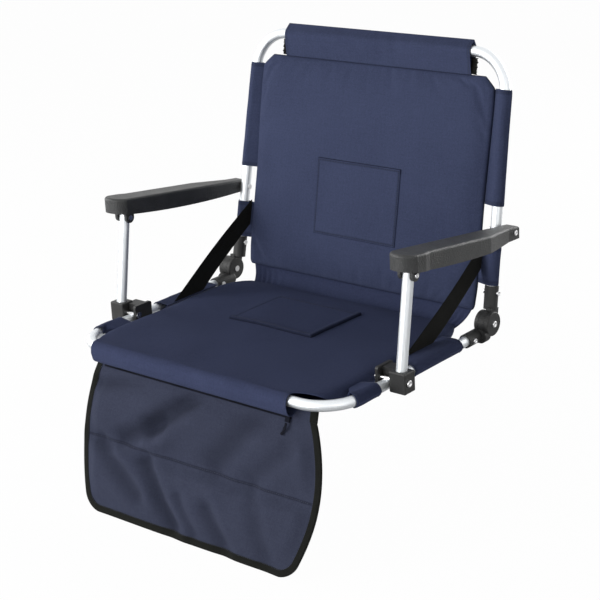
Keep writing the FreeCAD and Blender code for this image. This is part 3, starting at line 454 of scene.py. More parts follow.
back_across = to_edges(BACK_COLS)[None, :]
back_rise = to_edges(BACK_ROWS)[:, None]
back_up = (BACK_TOP + BACK_FOOT) / 2 + (BACK_TOP - BACK_FOOT) / 2 * back_rise
back_x = back_across * back_half(back_up)
pad_rise = np.sqrt(np.clip(1 - np.abs(back_across) ** 40, 0, 1) * np.clip(1 - np.abs(back_rise) ** 30, 0, 1))
crown = (1 - back_across ** 2) * (1 - back_rise ** 2)
back_up = np.broadcast_to(back_up, back_x.shape)
front_skin = pad_rise * (0.0085 + 0.0035 * crown + 0.0006 * ripple(back_x, back_up, 0.12, 8))
rear_skin = -pad_rise * (0.0058 + 0.0006 * ripple(back_x, back_up, 0.1, 9))
front_points = on_back(back_x, back_up, front_skin)
rear_points = on_back(back_x, back_up, rear_skin)
back_points = np.concatenate([front_points, rear_points[::-1][1:-1]])
# Painted shade: the seam attribute darkens the cloth along its seam all round, as shade in the stitched
# valley.
sewn = smooth_step(np.maximum(np.abs(back_across), np.abs(back_rise)), 0.993, 1.0)
back_cushion = surface("back_cushion", back_points, wrap=True, seam=np.concatenate([sewn, sewn[::-1][1:-1]]))
seam_held = np.maximum(smooth_step(np.abs(back_across), 0.95, 0.985),
                       smooth_step(np.abs(back_rise), 0.95, 0.985))
back_held = np.concatenate([seam_held, seam_held[::-1][1:-1]])
back_points = swell(back_cushion, back_held, 4.0, 0.0045).reshape(back_points.shape)
front_points = back_points[:BACK_ROWS]
close_seams(back_cushion)
finish_cloth(back_cushion)
dress(back_cushion, BACK_NAVY_PAINTED_LIGHT, "back", "cover_cloth", "back_pad")
print("back cushion points", back_points.shape[:2])

# %% [markdown]
# ## Pockets
#
# A flat pocket is sewn on the seat and on the back. Each must lie on the swollen cloth, so its points are read
# from the cushion's own grid: a place across and along is turned into a row and a column, and the four grid
# points round it are mixed. The patch is then lifted by a cloth's thickness, and its rim is turned down into
# the pad.

# %% Reading a place on a swollen grid
def on_grid(points, row, col):
    """Point and normal of a grid surface at fractional rows and columns, mixed from its neighbours."""
    r0 = np.clip(np.floor(row).astype(int), 0, points.shape[0] - 2)
    c0 = np.clip(np.floor(col).astype(int), 0, points.shape[1] - 2)
    fr, fc = (row - r0)[..., None], (col - c0)[..., None]
    a, b = points[r0, c0], points[r0, c0 + 1]
    c, d = points[r0 + 1, c0], points[r0 + 1, c0 + 1]
    place = (1 - fr) * ((1 - fc) * a + fc * b) + fr * ((1 - fc) * c + fc * d)
    normal = np.cross(b - a + d - c, c - a + d - b)
    return place, normal / np.linalg.norm(normal, axis=-1, keepdims=True)


def seat_place(x, y):
    """Point and upward normal on the seat cover's top."""
    row = np.interp(-y, -loop_y[:TOP_ROWS], np.arange(TOP_ROWS))
    low, high = seat_edges(y)
    col = np.interp((2 * x - low - high) / (high - low), cover_across, np.arange(COVER_COLS))
    place, normal = on_grid(seat_points[:TOP_ROWS], row, col)
    return place, normal * np.sign(normal[..., 2:])


def back_place(x, up):
    """Point and forward normal on the back cushion's front."""
    row = np.interp((up - (BACK_TOP + BACK_FOOT) / 2) / ((BACK_TOP - BACK_FOOT) / 2), back_rise[:, 0],
                    np.arange(BACK_ROWS))
    col = np.interp(x / back_half(up), back_across[0], np.arange(BACK_COLS))
    place, normal = on_grid(front_points, row, col)
    return place, -normal * np.sign(normal[..., 1:2])


# %% Pocket patches
POCKET_W = 0.163
POCKET_H = 0.122
SEW_IN = 0.0034


def to_rims(count):
    """Steps from 0 to 1 with close rows at both ends, for a rim and its line of sewing."""
    rim = np.array([0.0, 0.006, 0.013, 0.020, 0.028, 0.036])
    return np.concatenate([rim, np.linspace(0.05, 0.95, count - 12), 1 - rim[::-1]])


def pocket(name, placer, x0, low, lift):
    """Patch of cloth on a cushion: a lifted rectangle with its rim turned down, sewn just inside it."""
    across, along = np.meshgrid(to_rims(60), to_rims(50))
    place, normal = placer(x0 + POCKET_W * across, low + POCKET_H * along)
    inset = np.minimum(np.minimum(across, 1 - across) * POCKET_W, np.minimum(along, 1 - along) * POCKET_H)
    height = lift(across, along) * smooth_step(inset, -0.0002, 0.0009) - 0.0006 * (inset < 1e-6)
    groove = np.exp(-((inset - SEW_IN) / 0.0009) ** 2)
    # Painted shade: dark is highest at the turned-down rim, as the shadow gap under it, and lower along the
    # sewn groove.
    dark = np.maximum(0.95 * np.exp(-(inset / 0.0010) ** 2), 0.6 * groove)
    return surface(name, place + normal * (height - 0.0004 * groove)[..., None], seam=dark)


SEAT_POCKET_X, SEAT_POCKET_Y = -0.090, -0.014
BACK_POCKET_X, BACK_POCKET_UP = -0.0845, 0.098


def seat_welt(across, along):
    """Height of the seat pocket over the pad, with a raised welt along its front and its right edge."""
    return 0.0012 + 0.0030 * np.maximum(smooth_step(0.10 - along, 0, 0.06), smooth_step(across, 0.93, 0.97))


def back_welt(across, along):
    """Height of the back pocket over the pad, with a raised welt along its top edge."""
    return 0.0014 + 0.0014 * smooth_step(along, 0.92, 0.96)


seat_pocket = pocket("seat_pocket_patch", seat_place, SEAT_POCKET_X, SEAT_POCKET_Y, seat_welt)
back_pocket = pocket("back_pocket_patch", back_place, BACK_POCKET_X, BACK_POCKET_UP, back_welt)
for patch, cloth, body, node in ((seat_pocket, SEAT_NAVY_PAINTED_SHADE, "seat", "seat_pocket"),
                                 (back_pocket, BACK_NAVY_PAINTED_LIGHT, "back", "back_pocket")):
    dress(patch, cloth, body, "cover_cloth", node)
print("pockets on the seat and the back")

# %% [markdown]
# ## Sleeves that hold the covers on the tubes
#
# Each side of the covers ends in a flat sleeve that the tube runs through. Seen along the tube, the cloth is a
# circle drawn out to a point on both sides: a straight line from the inner point to where it touches the
# circle, an arc over the tube, and a straight line to the outer fold. That half is mirrored for the other
# side and carried along the tube.

# %% Sleeve section
def drawn_ring(radius, tail_in, tail_out):
    """Sections as rows of inward and thick: tangent from the inner point, arc, tangent to the outer point."""
    a_in = np.arccos(np.clip(radius / tail_in, -1, 1))[:, None]
    a_out = np.arccos(np.clip(radius / tail_out, -1, 1))[:, None]
    share = np.array([1.0, 0.985, 0.92, 0.78, 0.6, 0.4, 0.2])[None, :]
    bow = a_in + (np.pi - a_out - a_in) * np.linspace(0, 1, 15)[None, :]
    ahead = radius * np.cos(a_in) * (1 - share) + tail_in[:, None] * share
    behind = -(radius * np.cos(a_out) * (1 - share) + tail_out[:, None] * share)[:, ::-1]
    inward = np.concatenate([ahead, radius * np.cos(bow), behind], axis=1)
    thick = np.concatenate([radius * np.sin(a_in) * (1 - share), radius * np.sin(bow),
                            (radius * np.sin(a_out) * (1 - share))[:, ::-1]], axis=1)
    return (np.concatenate([inward, inward[:, -2::-1]], axis=1),
            np.concatenate([thick, -thick[:, -2::-1]], axis=1))


def sleeve(name, centre, inward_way, thick_way, radius, tail_in, tail_out, seed, slack=0.0003, lift=0.0):
    """Carry the drawn ring along a line of centres, with a little slack in the cloth and a hem at both ends.
    lift raises the inner point, where the sleeve is sewn to the upper edge of a pad."""
    inward, thick = drawn_ring(radius, tail_in, tail_out)
    raised = lift * np.clip(inward / tail_in[:, None], 0, 1)
    run = running_length(centre[:, None], 0)[:, None]
    hem = np.exp(-(np.minimum(run, run[-1] - run) / 0.003) ** 2)
    grow = 1 + (slack * ripple(run + 0 * inward, 0.6 * inward + thick, 0.03, seed) + 0.0003 * hem) / radius
    points = (centre[:, None] + inward[..., None] * inward_way[:, None]
              + (thick * grow + raised)[..., None] * thick_way[:, None])
    # Painted shade: the seam attribute darkens a ring 4.5 mm in from each end, as shade in the hem's stitched
    # groove.
    ends = np.exp(-((np.minimum(run, run[-1] - run) - 0.0045) / 0.0012) ** 2)
    piece = surface(name, points, seam=0.4 * ends + 0 * inward)
    close_seams(piece)
    finish_cloth(piece, thickness=0.0012)
    return piece, points


HEMS = {"seat": [], "back": []}


def hem_rings(body, points, centre):
    """Keep the rings one step in from a sleeve's ends, where a hem is stitched, with the way out of them."""
    for row in (1, -2):
        out = points[row] - centre[row]
        HEMS[body].append((points[row], out / np.linalg.norm(out, axis=1, keepdims=True)))


# %% Side sleeves of the back
SIDES = (("right", 1), ("left", -1))
FORWARD = np.array([0.0, -math.cos(BACK_LEAN), math.sin(BACK_LEAN)])
for side, sign in SIDES:
    for level_name, low, high in (("lower", 0.0678, 0.127), ("upper", 0.186, 0.357)):
        up = np.linspace(low, high, int((high - low) / 0.004))
        bend = np.arcsin(np.clip(up - BACK_BEND_UP, 0, None) / BACK_BEND_R)
        tube = tube_x(up) - BACK_BEND_R * (1 - np.cos(bend))
        centre = on_back(sign * tube, up, 0.0)
        inner_tail = np.maximum(tube - SLEEVE_SEAM_X, 0.0099)
        outer_tail = 0.0101 + 0.0022 * (up - low) / (high - low)
        wing, points = sleeve(f"back_{level_name}_sleeve_{side}", centre,
                              np.tile([-sign, 0.0, 0.0], (len(up), 1)), np.tile(FORWARD, (len(up), 1)),
                              0.0098, inner_tail, outer_tail, 22 + sign + int(100 * low))
        dress(wing, BACK_NAVY_PAINTED_LIGHT, "back", "cover_cloth", f"back_{level_name}_side_sleeve_{side}")
        hem_rings("back", points, centre)
print("side sleeves of the back done")

# %% Side sleeves of the seat
UPWARD = np.array([0.0, 0.0, 1.0])
for side, sign in SIDES:
    along = np.arange(-0.014, 0.0395, 0.003)
    turn = np.clip(-along, 0, None) / BEND_R
    inset = BEND_R * (1 - np.cos(turn))
    y = np.where(along < 0, FRONT_Y + BEND_R - BEND_R * np.sin(turn), FRONT_Y + BEND_R + along)
    centre = np.stack([sign * (SEAT_X - inset), y, 0 * y + SEAT_Z], axis=-1)
    way = np.stack([-sign * np.cos(turn), np.sin(turn), 0 * y], axis=-1)
    tail = 0.0103 + (SEAT_X - SLEEVE_SEAM_X - 0.0103) * smooth_step(along, -0.012, 0.012)
    wing, points = sleeve(f"seat_front_sleeve_{side}", centre, way, np.tile(UPWARD, (len(y), 1)),
                          0.0100, tail, 0 * y + 0.0110, 40 + sign, lift=0.006)
    dress(wing, SEAT_NAVY_PAINTED_SHADE, "seat", "cover_cloth", f"seat_front_side_sleeve_{side}")
    hem_rings("seat", points, centre)
    y = np.linspace(-0.010, 0.1075, 34)
    centre = np.stack([0 * y + sign * SEAT_X, y, 0 * y + SEAT_Z], axis=-1)
    wing, points = sleeve(f"seat_rear_sleeve_{side}", centre, np.tile([-sign, 0.0, 0.0], (len(y), 1)),
                          np.tile(UPWARD, (len(y), 1)), 0.0099, 0 * y + SEAT_X - SLEEVE_SEAM_X,
                          0 * y + 0.0112, 50 + sign, lift=0.010)
    dress(wing, SEAT_NAVY_PAINTED_SHADE, "seat", "cover_cloth", f"seat_rear_side_sleeve_{side}")
    hem_rings("seat", points, centre)
print("side sleeves of the seat done")

# %% Top sleeve
TOP_STEPS = 96
across = np.linspace(-0.179, 0.179, TOP_STEPS)
centre = on_back(across, BACK_UP + 0 * across, 0.0)
DOWNWARD = np.array([0.0, -math.sin(BACK_LEAN), -math.cos(BACK_LEAN)])
top_sleeve, points = sleeve("back_top_loop", centre, np.tile(DOWNWARD, (TOP_STEPS, 1)),
                            np.tile(FORWARD, (TOP_STEPS, 1)), 0.0106,
                            0 * across + 0.0395, 0 * across + 0.0168, 61, slack=0.0007)
dress(top_sleeve, BACK_NAVY_PAINTED_LIGHT, "back", "cover_cloth", "back_top_sleeve")
hem_rings("back", points, centre)
print("top sleeve done")

# %% [markdown]
# ## Straps and crease cloth
#
# Two flat straps run slantwise from the seat to the back and stop it from leaning too far. They are webbing,
# ribbed across, so their bands follow the UV map. A strip of the cover cloth closes the crease. All three
# cross the hinge, from the seat at one end to the back at the other.

# %% Webbing material
def ribbed(name, dark, light, rib, depth):
    """Webbing or tape: strong ribs across the length, faint threads along it."""
    material, tree, shader = tree_of(name)
    lengths = add(tree, "ShaderNodeUVMap", uv_map="cloth")
    ribs = add(tree, "ShaderNodeTexWave", [(lengths.outputs["UV"], "Vector")], bands_direction="Y",
               Scale=1 / (rib * 3.2), Distortion=0.3)
    threads = add(tree, "ShaderNodeTexWave", [(lengths.outputs["UV"], "Vector")], bands_direction="X",
                  Scale=1 / (rib * 2.0), Distortion=1.0)
    mix = add(tree, "ShaderNodeMath", [(ribs.outputs["Fac"], 0), (threads.outputs["Fac"], 1)],
              operation="MULTIPLY_ADD")
    mix.inputs[2].default_value = 0.1
    tint = colour_ramp(tree, mix.outputs[0], [(0.0, dark), (0.9, light)])
    bump = add(tree, "ShaderNodeBump", [(mix.outputs[0], "Height")], Strength=depth, Distance=0.0004)
    tree.links.new(tint.outputs["Color"], shader.inputs["Base Color"])
    tree.links.new(bump.outputs["Normal"], shader.inputs["Normal"])
    shader.inputs["Roughness"].default_value = 0.9
    shader.inputs["Sheen Weight"].default_value = 0.05
    shader.inputs["Specular IOR Level"].default_value = 0.12
    return material


WEBBING = ribbed("black_webbing", (0.005, 0.005, 0.0045), (0.017, 0.017, 0.015), 0.0016, 0.6)
TAPE = ribbed("binding_tape", (0.005, 0.0055, 0.0045), (0.017, 0.018, 0.015), 0.0012, 0.6)

# %% Grip strips
for side, sign in SIDES:
    out, up = np.meshgrid(np.linspace(0, 1, 8), np.linspace(0.374, 0.3985, 40))
    jag = 0.0022 * np.abs(np.sin(up * 900 + sign)) + 0.0016 * np.abs(np.sin(up * 2300))
    curl = -0.0008 - 0.001 * np.sin(up * 800 + 3 * out) * out
    points = on_back(sign * (0.176 + out * (0.0085 + jag)), up, curl)
    strip = surface(f"grip_strip_{side}", points)
    finish_cloth(strip, thickness=0.0016)
    dress(strip, WEBBING, "back", "grip_tape", *(["top_sleeve_grip_strips"] if sign > 0 else []))
print("grip strips cut")

# %% Straps
for side, sign in SIDES:
    wide, run = np.meshgrid(np.linspace(0, 1, 9), np.linspace(0, 1, 40))
    foot = np.stack([0 * wide, 0.004 + 0.072 * wide, 0 * wide + SEAT_Z + 0.0090], axis=-1)
    head = on_back(0 * wide, 0.133 - 0.043 * wide, 0.0022)
    points = foot * (1 - run[..., None]) + head * run[..., None]
    slack = np.sin(np.pi * run) * 0.003 + 0.0012 * np.sin(2 * np.pi * run + 1) * (wide - 0.5)
    points[..., 0] = sign * (0.2266 + 0.002 * run + slack)
    strap = surface(f"strap_webbing_{side}", points, flip=sign > 0)
    finish_cloth(strap, thickness=0.0015)
    dress(strap, WEBBING, None, "webbing", f"strap_{side}")
    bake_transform(strap)
print("straps done")

# %% Crease cloth
across, round_way = np.meshgrid(np.linspace(-0.219, 0.219, 130), np.linspace(0, 1, 15))
low = np.stack([across * 0.914, 0 * across + SEAT_REAR - 0.003, 0 * across + SEAT_Z - 0.004], axis=-1)
high = on_back(across, 0 * across + 0.028, -0.003)
points = low * (1 - round_way[..., None]) + high * round_way[..., None]
belly = np.sin(np.pi * round_way)
gather = 0.0012 * np.sin(across * 2 * np.pi / 0.013 + 2 * np.sin(across * 60))
gather *= smooth_step(np.abs(across), 0.13, 0.215)
points[..., 1] += belly * (0.005 + gather)
points[..., 2] -= belly * (0.004 + gather)
crease = surface("crease_cloth", points)
finish_cloth(crease, thickness=0.0012)
dress(crease, SEAT_NAVY_PAINTED_SHADE, None, "cover_cloth", "crease_gusset")
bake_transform(crease)
print("crease cloth done")

# %% [markdown]
# ## Front flap
#
# A quilted flap hangs over the bench's edge from a short band of cloth under the front roll. Two channels of
# filling are divided by one line of sewing. The cloth has slack, so it breaks into folds: slanting ones above,
# falling ones below. Each fold is a smooth valley along a line, whose depth falls off as a bell curve to both
# sides, with a low ridge on one of them.

# %% Flap outline and folds
SEAM_Y = -0.1764
SEAM_Z = -0.013
FLAP_TILT = math.radians(15)
FLAP_L = 0.2293
FLAP_SEAM = 0.1158
CORNER_R = 0.023
FOLDS = (((0.007, 0.000), (-0.089, 0.077), 0.017, 0.0120), ((-0.075, 0.069), (-0.150, 0.107), 0.014, 0.0085),
         ((0.120, 0.001), (0.040, 0.101), 0.022, 0.0065), ((-0.200, 0.034), (-0.120, 0.009), 0.012, 0.0060),
         ((0.170, 0.049), (0.110, 0.107), 0.016, 0.0040), ((-0.190, 0.123), (-0.105, 0.185), 0.015, 0.0070),
         ((-0.094, 0.131), (-0.028, 0.215), 0.015, 0.0090), ((-0.020, 0.165), (0.012, 0.214), 0.009, 0.0050),
         ((0.036, 0.169), (0.074, 0.223), 0.014, 0.0065), ((0.120, 0.139), (0.150, 0.214), 0.017, 0.0040))


def flap_half(down):
    """Half width of the flap: a parabola through its three widths, with round bottom corners."""
    t = (down + 0.0107) / 0.2396
    body = 0.2084 + 0.1024 * t - 0.1103 * t * t
    inside = np.clip(down - (FLAP_L - CORNER_R), 0, CORNER_R)
    return body - (CORNER_R - np.sqrt(np.clip(CORNER_R ** 2 - inside ** 2, 0, None)))


def valley(x, down, start, end, width, depth):
    """Depth of one fold: greatest on the line from start to end, with a low ridge on one side of it."""
    a, b = np.array(start), np.array(end)
    t = np.clip(((x - a[0]) * (b - a)[0] + (down - a[1]) * (b - a)[1]) / ((b - a) ** 2).sum(), 0, 1)
    gap = np.hypot(x - a[0] - t * (b - a)[0], down - a[1] - t * (b - a)[1])
    side = (x - a[0]) * (b - a)[1] - (down - a[1]) * (b - a)[0]
    ridge = 0.3 * np.exp(-((gap - 1.6 * width) / width) ** 2) * smooth_step(side, 0, 0.002)
    return depth * (np.exp(-(gap / width) ** 2) - ridge)


def flap_forward(x, down):
    """How far the flap's middle stands forward of the straight hang: a bow, the folds and seam puckers."""
    t = np.clip(down / FLAP_L, 0, 1)
    folds = sum(valley(x, down, *fold) for fold in FOLDS)
    free = smooth_step(down, 0.004, 0.030) * (1 - 0.55 * smooth_step(down, FLAP_L - 0.03, FLAP_L))
    pucker = 0.0007 * np.exp(-((down - FLAP_SEAM) / 0.012) ** 2) * ripple(x, 0.2 * down, 0.016, 12)
    return -0.004 * np.sin(np.pi * t) + (pucker - folds) * free + 0.0015 * ripple(x, down, 0.12, 5) * t


def hang(x, down, forward):
    """Point of the flap: down along the tilted hang, forward square to it."""
    y = SEAM_Y - down * math.sin(FLAP_TILT) - forward * math.cos(FLAP_TILT)
    z = SEAM_Z - down * math.cos(FLAP_TILT) + forward * math.sin(FLAP_TILT)
    return np.stack(np.broadcast_arrays(x, y, z), axis=-1)


print("flap is", round(2 * float(flap_half(0.06)), 3), "m wide a quarter of the way down")

# %% Flap panel
FLAP_ROWS, FLAP_COLS = 116, 160
FLAP_SKIN, FRONT_PUFF, REAR_PUFF = 0.0009, 0.0085, 0.0035
down = np.linspace(0.0002, FLAP_L - 0.002, FLAP_ROWS)[:, None] + np.zeros((1, FLAP_COLS))
x = np.linspace(-1, 1, FLAP_COLS)[None, :] * (flap_half(down) - 0.002)
rim = np.minimum(flap_half(down) - np.abs(x), FLAP_L - down)
upper = smooth_step(down, 0.010, 0.050) * (1 - smooth_step(down, 0.68 * FLAP_SEAM, FLAP_SEAM))
lower = smooth_step(down, FLAP_SEAM, 1.2 * FLAP_SEAM) * (1 - smooth_step(down, 0.75 * FLAP_L, FLAP_L - 0.010))
puff = (upper + lower) * smooth_step(rim, 0.006, 0.034)
edge = smooth_step(rim, 0.002, 0.004) * smooth_step(down, 0.0001, 0.0022)
flap_middle = flap_forward(x, down)
front_grid = hang(x, down, flap_middle + (FLAP_SKIN + FRONT_PUFF * puff) * edge)
rear_grid = hang(x, down, flap_middle - (FLAP_SKIN + REAR_PUFF * puff) * edge)
# Painted shade: the seam attribute darkens the quilting line and the fold valleys, the deeper the valley the
# darker.
fold_shade = np.clip(sum(valley(x, down, *fold) for fold in FOLDS) / 0.009, 0, 1) * smooth_step(down, 0.004, 0.030)
sewn = np.maximum(0.8 * np.exp(-((down - FLAP_SEAM) / 0.0014) ** 2), 0.42 * fold_shade)
flap = surface("flap_quilt", np.concatenate([front_grid, rear_grid[::-1]]), wrap=True, flip=True,
               seam=np.concatenate([sewn, sewn[::-1]]))
close_seams(flap)
dress(flap, FLAP_NAVY_PAINTED_SHADE, "flap", "cover_cloth", "flap_panel")
print("flap points", front_grid.shape[:2])

# %% Band above the flap
# The band hangs from the seat's underside. Its lower edge laps over the flap.
BAND_UP = np.array([-0.0036, -0.0030, -0.0015, 0.0, 0.0016, 0.004, 0.007, 0.010, 0.0125, 0.0137])
bend_start, bend_end = [tuple(hang(0.0, along, 0.0).tolist()) for along in (-0.004, 0.0004)]
across, up = np.meshgrid(np.linspace(-0.2120, 0.2120, 120), BAND_UP)
band = surface("flap_band", hang(across, -up, 0.0013 + 0.0003 * ripple(across, up, 0.03, 71)))
finish_cloth(band, thickness=0.0018)
dress(band, FLAP_NAVY_PAINTED_SHADE, None, "cover_cloth", "flap_root_band")
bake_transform(band)
for side, sign in SIDES:
    across, up = np.meshgrid(sign * np.linspace(0.2015, 0.2148, 6), BAND_UP)
    end_tape = surface(f"band_tape_{side}", hang(across, -up, 0.0021), flip=sign < 0)
    finish_cloth(end_tape, thickness=0.0040)
    dress(end_tape, TAPE, None, "binding_tape")
    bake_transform(end_tape)
print("band above the flap hung")

# %% Flap binding
# The tape follows the outline: down the left edge, along the bottom and up the right edge.
BINDING_W = 0.011
corner = np.linspace(0, np.pi / 2, 24)[1:]
drop = np.concatenate([np.linspace(0.0002, FLAP_L - CORNER_R, 70), FLAP_L - CORNER_R * (1 - np.sin(corner))])
foot_x = np.linspace(-flap_half(FLAP_L), flap_half(FLAP_L), 110)[1:-1]
edge_x = np.concatenate([-flap_half(drop), foot_x, flap_half(drop)[::-1]])
edge_d = np.concatenate([drop, np.full(len(foot_x), FLAP_L), drop[::-1]])
way = np.gradient(np.stack([edge_x, edge_d], axis=-1), axis=0)
way /= np.linalg.norm(way, axis=1, keepdims=True)
round_tape = np.linspace(0, 2 * np.pi, 21)
wide = BINDING_W / 2 * (1 - np.sign(np.cos(round_tape)) * np.abs(np.cos(round_tape)) ** 0.5)
thick = 0.0023 * np.sign(np.sin(round_tape)) * np.abs(np.sin(round_tape)) ** 0.5
tape_x = edge_x[:, None] + way[:, 1:] * wide
tape_d = np.clip(edge_d[:, None] - way[:, :1] * wide, 0.0002, None)
thin_top = 0.15 + 0.85 * smooth_step(tape_d, 0, 0.006)
tape_points = hang(tape_x, tape_d, flap_forward(tape_x, tape_d) + thick * thin_top)
binding = surface("flap_tape", tape_points)
close_seams(binding)
finish_cloth(binding)
dress(binding, TAPE, "flap", "binding_tape", "flap_binding")

# %% Zip tag
# The tag hangs from the slider under the roll's right end: a soft tab whose section shrinks to nothing
# at both ends.
length, turn = np.meshgrid(np.linspace(0, 1, 26), np.linspace(0, 2 * np.pi, 17), indexing="ij")
half_wide = 0.0029 * (1 - (2 * length - 1) ** 8) ** 0.5 * (1 - 0.35 * np.sin(2.2 * np.pi * length) ** 2)
half_thick = 0.0009 * (1 - (2 * length - 1) ** 8) ** 0.5
tag_down = 0.0115 + 0.0195 * length + 0.25 * half_wide * np.cos(turn)
tag_x = 0.1668 - 0.0055 * length + 0.0012 * np.sin(5 * length) + half_wide * np.cos(turn)
tag_forward = 0.0072 + half_thick * np.sin(turn) + 0.0008 * np.sin(6 * length)
tag = surface("zip_tag", hang(tag_x, tag_down, tag_forward))
close_seams(tag)
finish_cloth(tag)
print("zip tag made")

# %% [markdown]
# ## Stitches
#
# Lines of thread hold the hems, the pockets, the quilting and the tape. A stitch is a spindle of six points:
# two tips along the line and four round its middle. All the stitches of a body are one mesh, made from whole
# arrays at once.

# %% Stitch helper
SPINDLE = np.array([[0, 2, 3], [0, 3, 4], [0, 4, 5], [0, 5, 2], [1, 3, 2], [1, 4, 3], [1, 5, 4], [1, 2, 5]])
THREAD, thread_tree, thread_shader = tree_of("navy_thread")
thread_place = add(thread_tree, "ShaderNodeTexCoord")
thread_noise = add(thread_tree, "ShaderNodeTexNoise", [(thread_place.outputs["Object"], "Vector")],
                   Scale=900.0)
thread_tint = colour_ramp(thread_tree, thread_noise.outputs["Fac"],
                          [(0.3, (0.020, 0.024, 0.048)), (0.7, (0.05, 0.058, 0.10))])
thread_tree.links.new(thread_tint.outputs["Color"], thread_shader.inputs["Base Color"])
thread_shader.inputs["Roughness"].default_value = 0.6


def stitches(name, body, runs, step=0.0034, length=0.0024, thick=0.0005):
    """Spindles of thread at even steps along lines of points, each line with the way out of its cloth."""
    corners = []
    for line, out in runs:
        run = running_length(line[:, None], 0)
        places = np.arange(step / 2, run[-1], step)
        ahead = np.gradient(line, axis=0)
        middle, along, normal = [np.stack([np.interp(places, run, values[:, k]) for k in range(3)], axis=-1)
                                 for values in (line, ahead, out)]
        along /= np.linalg.norm(along, axis=1, keepdims=True)
        side = np.cross(along, normal)
        side /= np.linalg.norm(side, axis=1, keepdims=True)
        normal = np.cross(side, along)
        reach = along * length / 2
        corners.append(np.stack([middle - reach, middle + reach, middle + side * thick,
                                 middle + normal * thick, middle - side * thick,
                                 middle - normal * thick], axis=1))
    corners = np.concatenate(corners)
    faces = SPINDLE[None] + 6 * np.arange(len(corners))[:, None, None]
    mesh = bpy.data.meshes.new(name)
    mesh.from_pydata(corners.reshape(-1, 3).tolist(), [], faces.reshape(-1, 3).tolist())
    piece = bpy.data.objects.new(name, mesh)
    bpy.context.scene.collection.objects.link(piece)
    close_seams(piece)
    dress(piece, THREAD, body, "cover_cloth")
    print(name, len(corners), "stitches")


def pocket_lines(placer, x0, low, lift):
    """Four lines of sewing just inside a pocket's rim, on its raised cloth."""
    t = np.linspace(0, 1, 60)
    near = SEW_IN + 0 * t
    wide = SEW_IN + (POCKET_W - 2 * SEW_IN) * t
    high = SEW_IN + (POCKET_H - 2 * SEW_IN) * t
    sides = ((wide, near), (wide, POCKET_H - near), (near, high), (POCKET_W - near, high))
    lines = []
    for a, b in sides:
        place, normal = placer(x0 + a, low + b)
        lines.append((place + normal * lift(a / POCKET_W, b / POCKET_H)[:, None], normal))
    return lines


# %% Stitches of the seat, the back and the flap
ROLL_HEM_X = 0.1735
roll_rows = np.flatnonzero((edge_y < -0.176) & (np.arange(len(loop_y)) < len(loop_y) - LOW_ROWS))
roll_hem = np.stack([0 * loop_y[roll_rows] + ROLL_HEM_X, loop_y[roll_rows], loop_z[roll_rows]], axis=-1)
roll_out = roll_hem - np.array([ROLL_HEM_X, FRONT_Y, SEAT_Z - ROLL_DROP / 2])
stitches("seat_stitches", "seat", HEMS["seat"] + [(roll_hem, roll_out)]
         + pocket_lines(seat_place, SEAT_POCKET_X, SEAT_POCKET_Y, seat_welt))
stitches("back_stitches", "back", HEMS["back"]
         + pocket_lines(back_place, BACK_POCKET_X, BACK_POCKET_UP, back_welt))
quilt_x = np.linspace(-0.213, 0.213, 200)
quilt_line = hang(quilt_x, 0 * quilt_x + FLAP_SEAM, flap_forward(quilt_x, 0 * quilt_x + FLAP_SEAM) + 0.0011)
flap_out = np.array([0.0, -math.cos(FLAP_TILT), math.sin(FLAP_TILT)])
tape_line = tape_points[:, 8] + 0.0002 * flap_out
stitches("flap_stitches", "flap", [(quilt_line, np.tile(flap_out, (len(quilt_line), 1))),
                                   (tape_line, np.tile(flap_out, (len(tape_line), 1)))])

# %% [markdown]
# ## Metal and plastic
#
# The tubes are satin aluminium with fine lines, the fittings and armrests are grained plastic, and the rivets
# are bright steel. These pieces keep their CAD shapes, so only their materials are made here.

# %% Metal and plastic materials
def satin_metal(name, colour, roughness, streak):
    """Metal with fine drawn lines: stretched noise changes the roughness and lifts the surface a little."""
    material, tree, shader = tree_of(name)
    place = add(tree, "ShaderNodeTexCoord")
    lines = add(tree, "ShaderNodeMapping", [(place.outputs["Object"], "Vector")], Scale=streak)
    noise = add(tree, "ShaderNodeTexNoise", [(lines.outputs["Vector"], "Vector")], Scale=1.0, Detail=4.0)
    rough = add(tree, "ShaderNodeMapRange", [(noise.outputs["Fac"], "Value")])
    rough.inputs["To Min"].default_value = roughness - 0.07
    rough.inputs["To Max"].default_value = roughness + 0.07
    shade = [tuple(c * 0.93 for c in colour), colour]
    tint = colour_ramp(tree, noise.outputs["Fac"], [(0.3, shade[0]), (0.7, shade[1])])
    bump = add(tree, "ShaderNodeBump", [(noise.outputs["Fac"], "Height")], Strength=0.02, Distance=0.0001)
    tree.links.new(rough.outputs["Result"], shader.inputs["Roughness"])
    tree.links.new(tint.outputs["Color"], shader.inputs["Base Color"])
    tree.links.new(bump.outputs["Normal"], shader.inputs["Normal"])
    shader.inputs["Metallic"].default_value = 1.0
    return material


def grained_plastic(name, dark, light, grain, strength, roughness, gloss=0.5):
    """Moulded plastic: a fine pebble grain, with broad wear that lightens and smooths it a little."""
    material, tree, shader = tree_of(name)
    place = add(tree, "ShaderNodeTexCoord")
    pebble = add(tree, "ShaderNodeTexVoronoi", [(place.outputs["Object"], "Vector")], Scale=1 / grain)
    cloud = add(tree, "ShaderNodeTexNoise", [(place.outputs["Object"], "Vector")], Scale=28.0, Detail=4.0)
    tint = colour_ramp(tree, cloud.outputs["Fac"], [(0.3, dark), (0.75, light)])
    rough = add(tree, "ShaderNodeMapRange", [(cloud.outputs["Fac"], "Value")])
    rough.inputs["To Min"].default_value = roughness + 0.08
    rough.inputs["To Max"].default_value = roughness - 0.08
    bump = add(tree, "ShaderNodeBump", [(pebble.outputs["Distance"], "Height")],
               Strength=strength, Distance=grain / 3)
    tree.links.new(tint.outputs["Color"], shader.inputs["Base Color"])
    tree.links.new(rough.outputs["Result"], shader.inputs["Roughness"])
    tree.links.new(bump.outputs["Normal"], shader.inputs["Normal"])
    shader.inputs["Specular IOR Level"].default_value = gloss
    return material


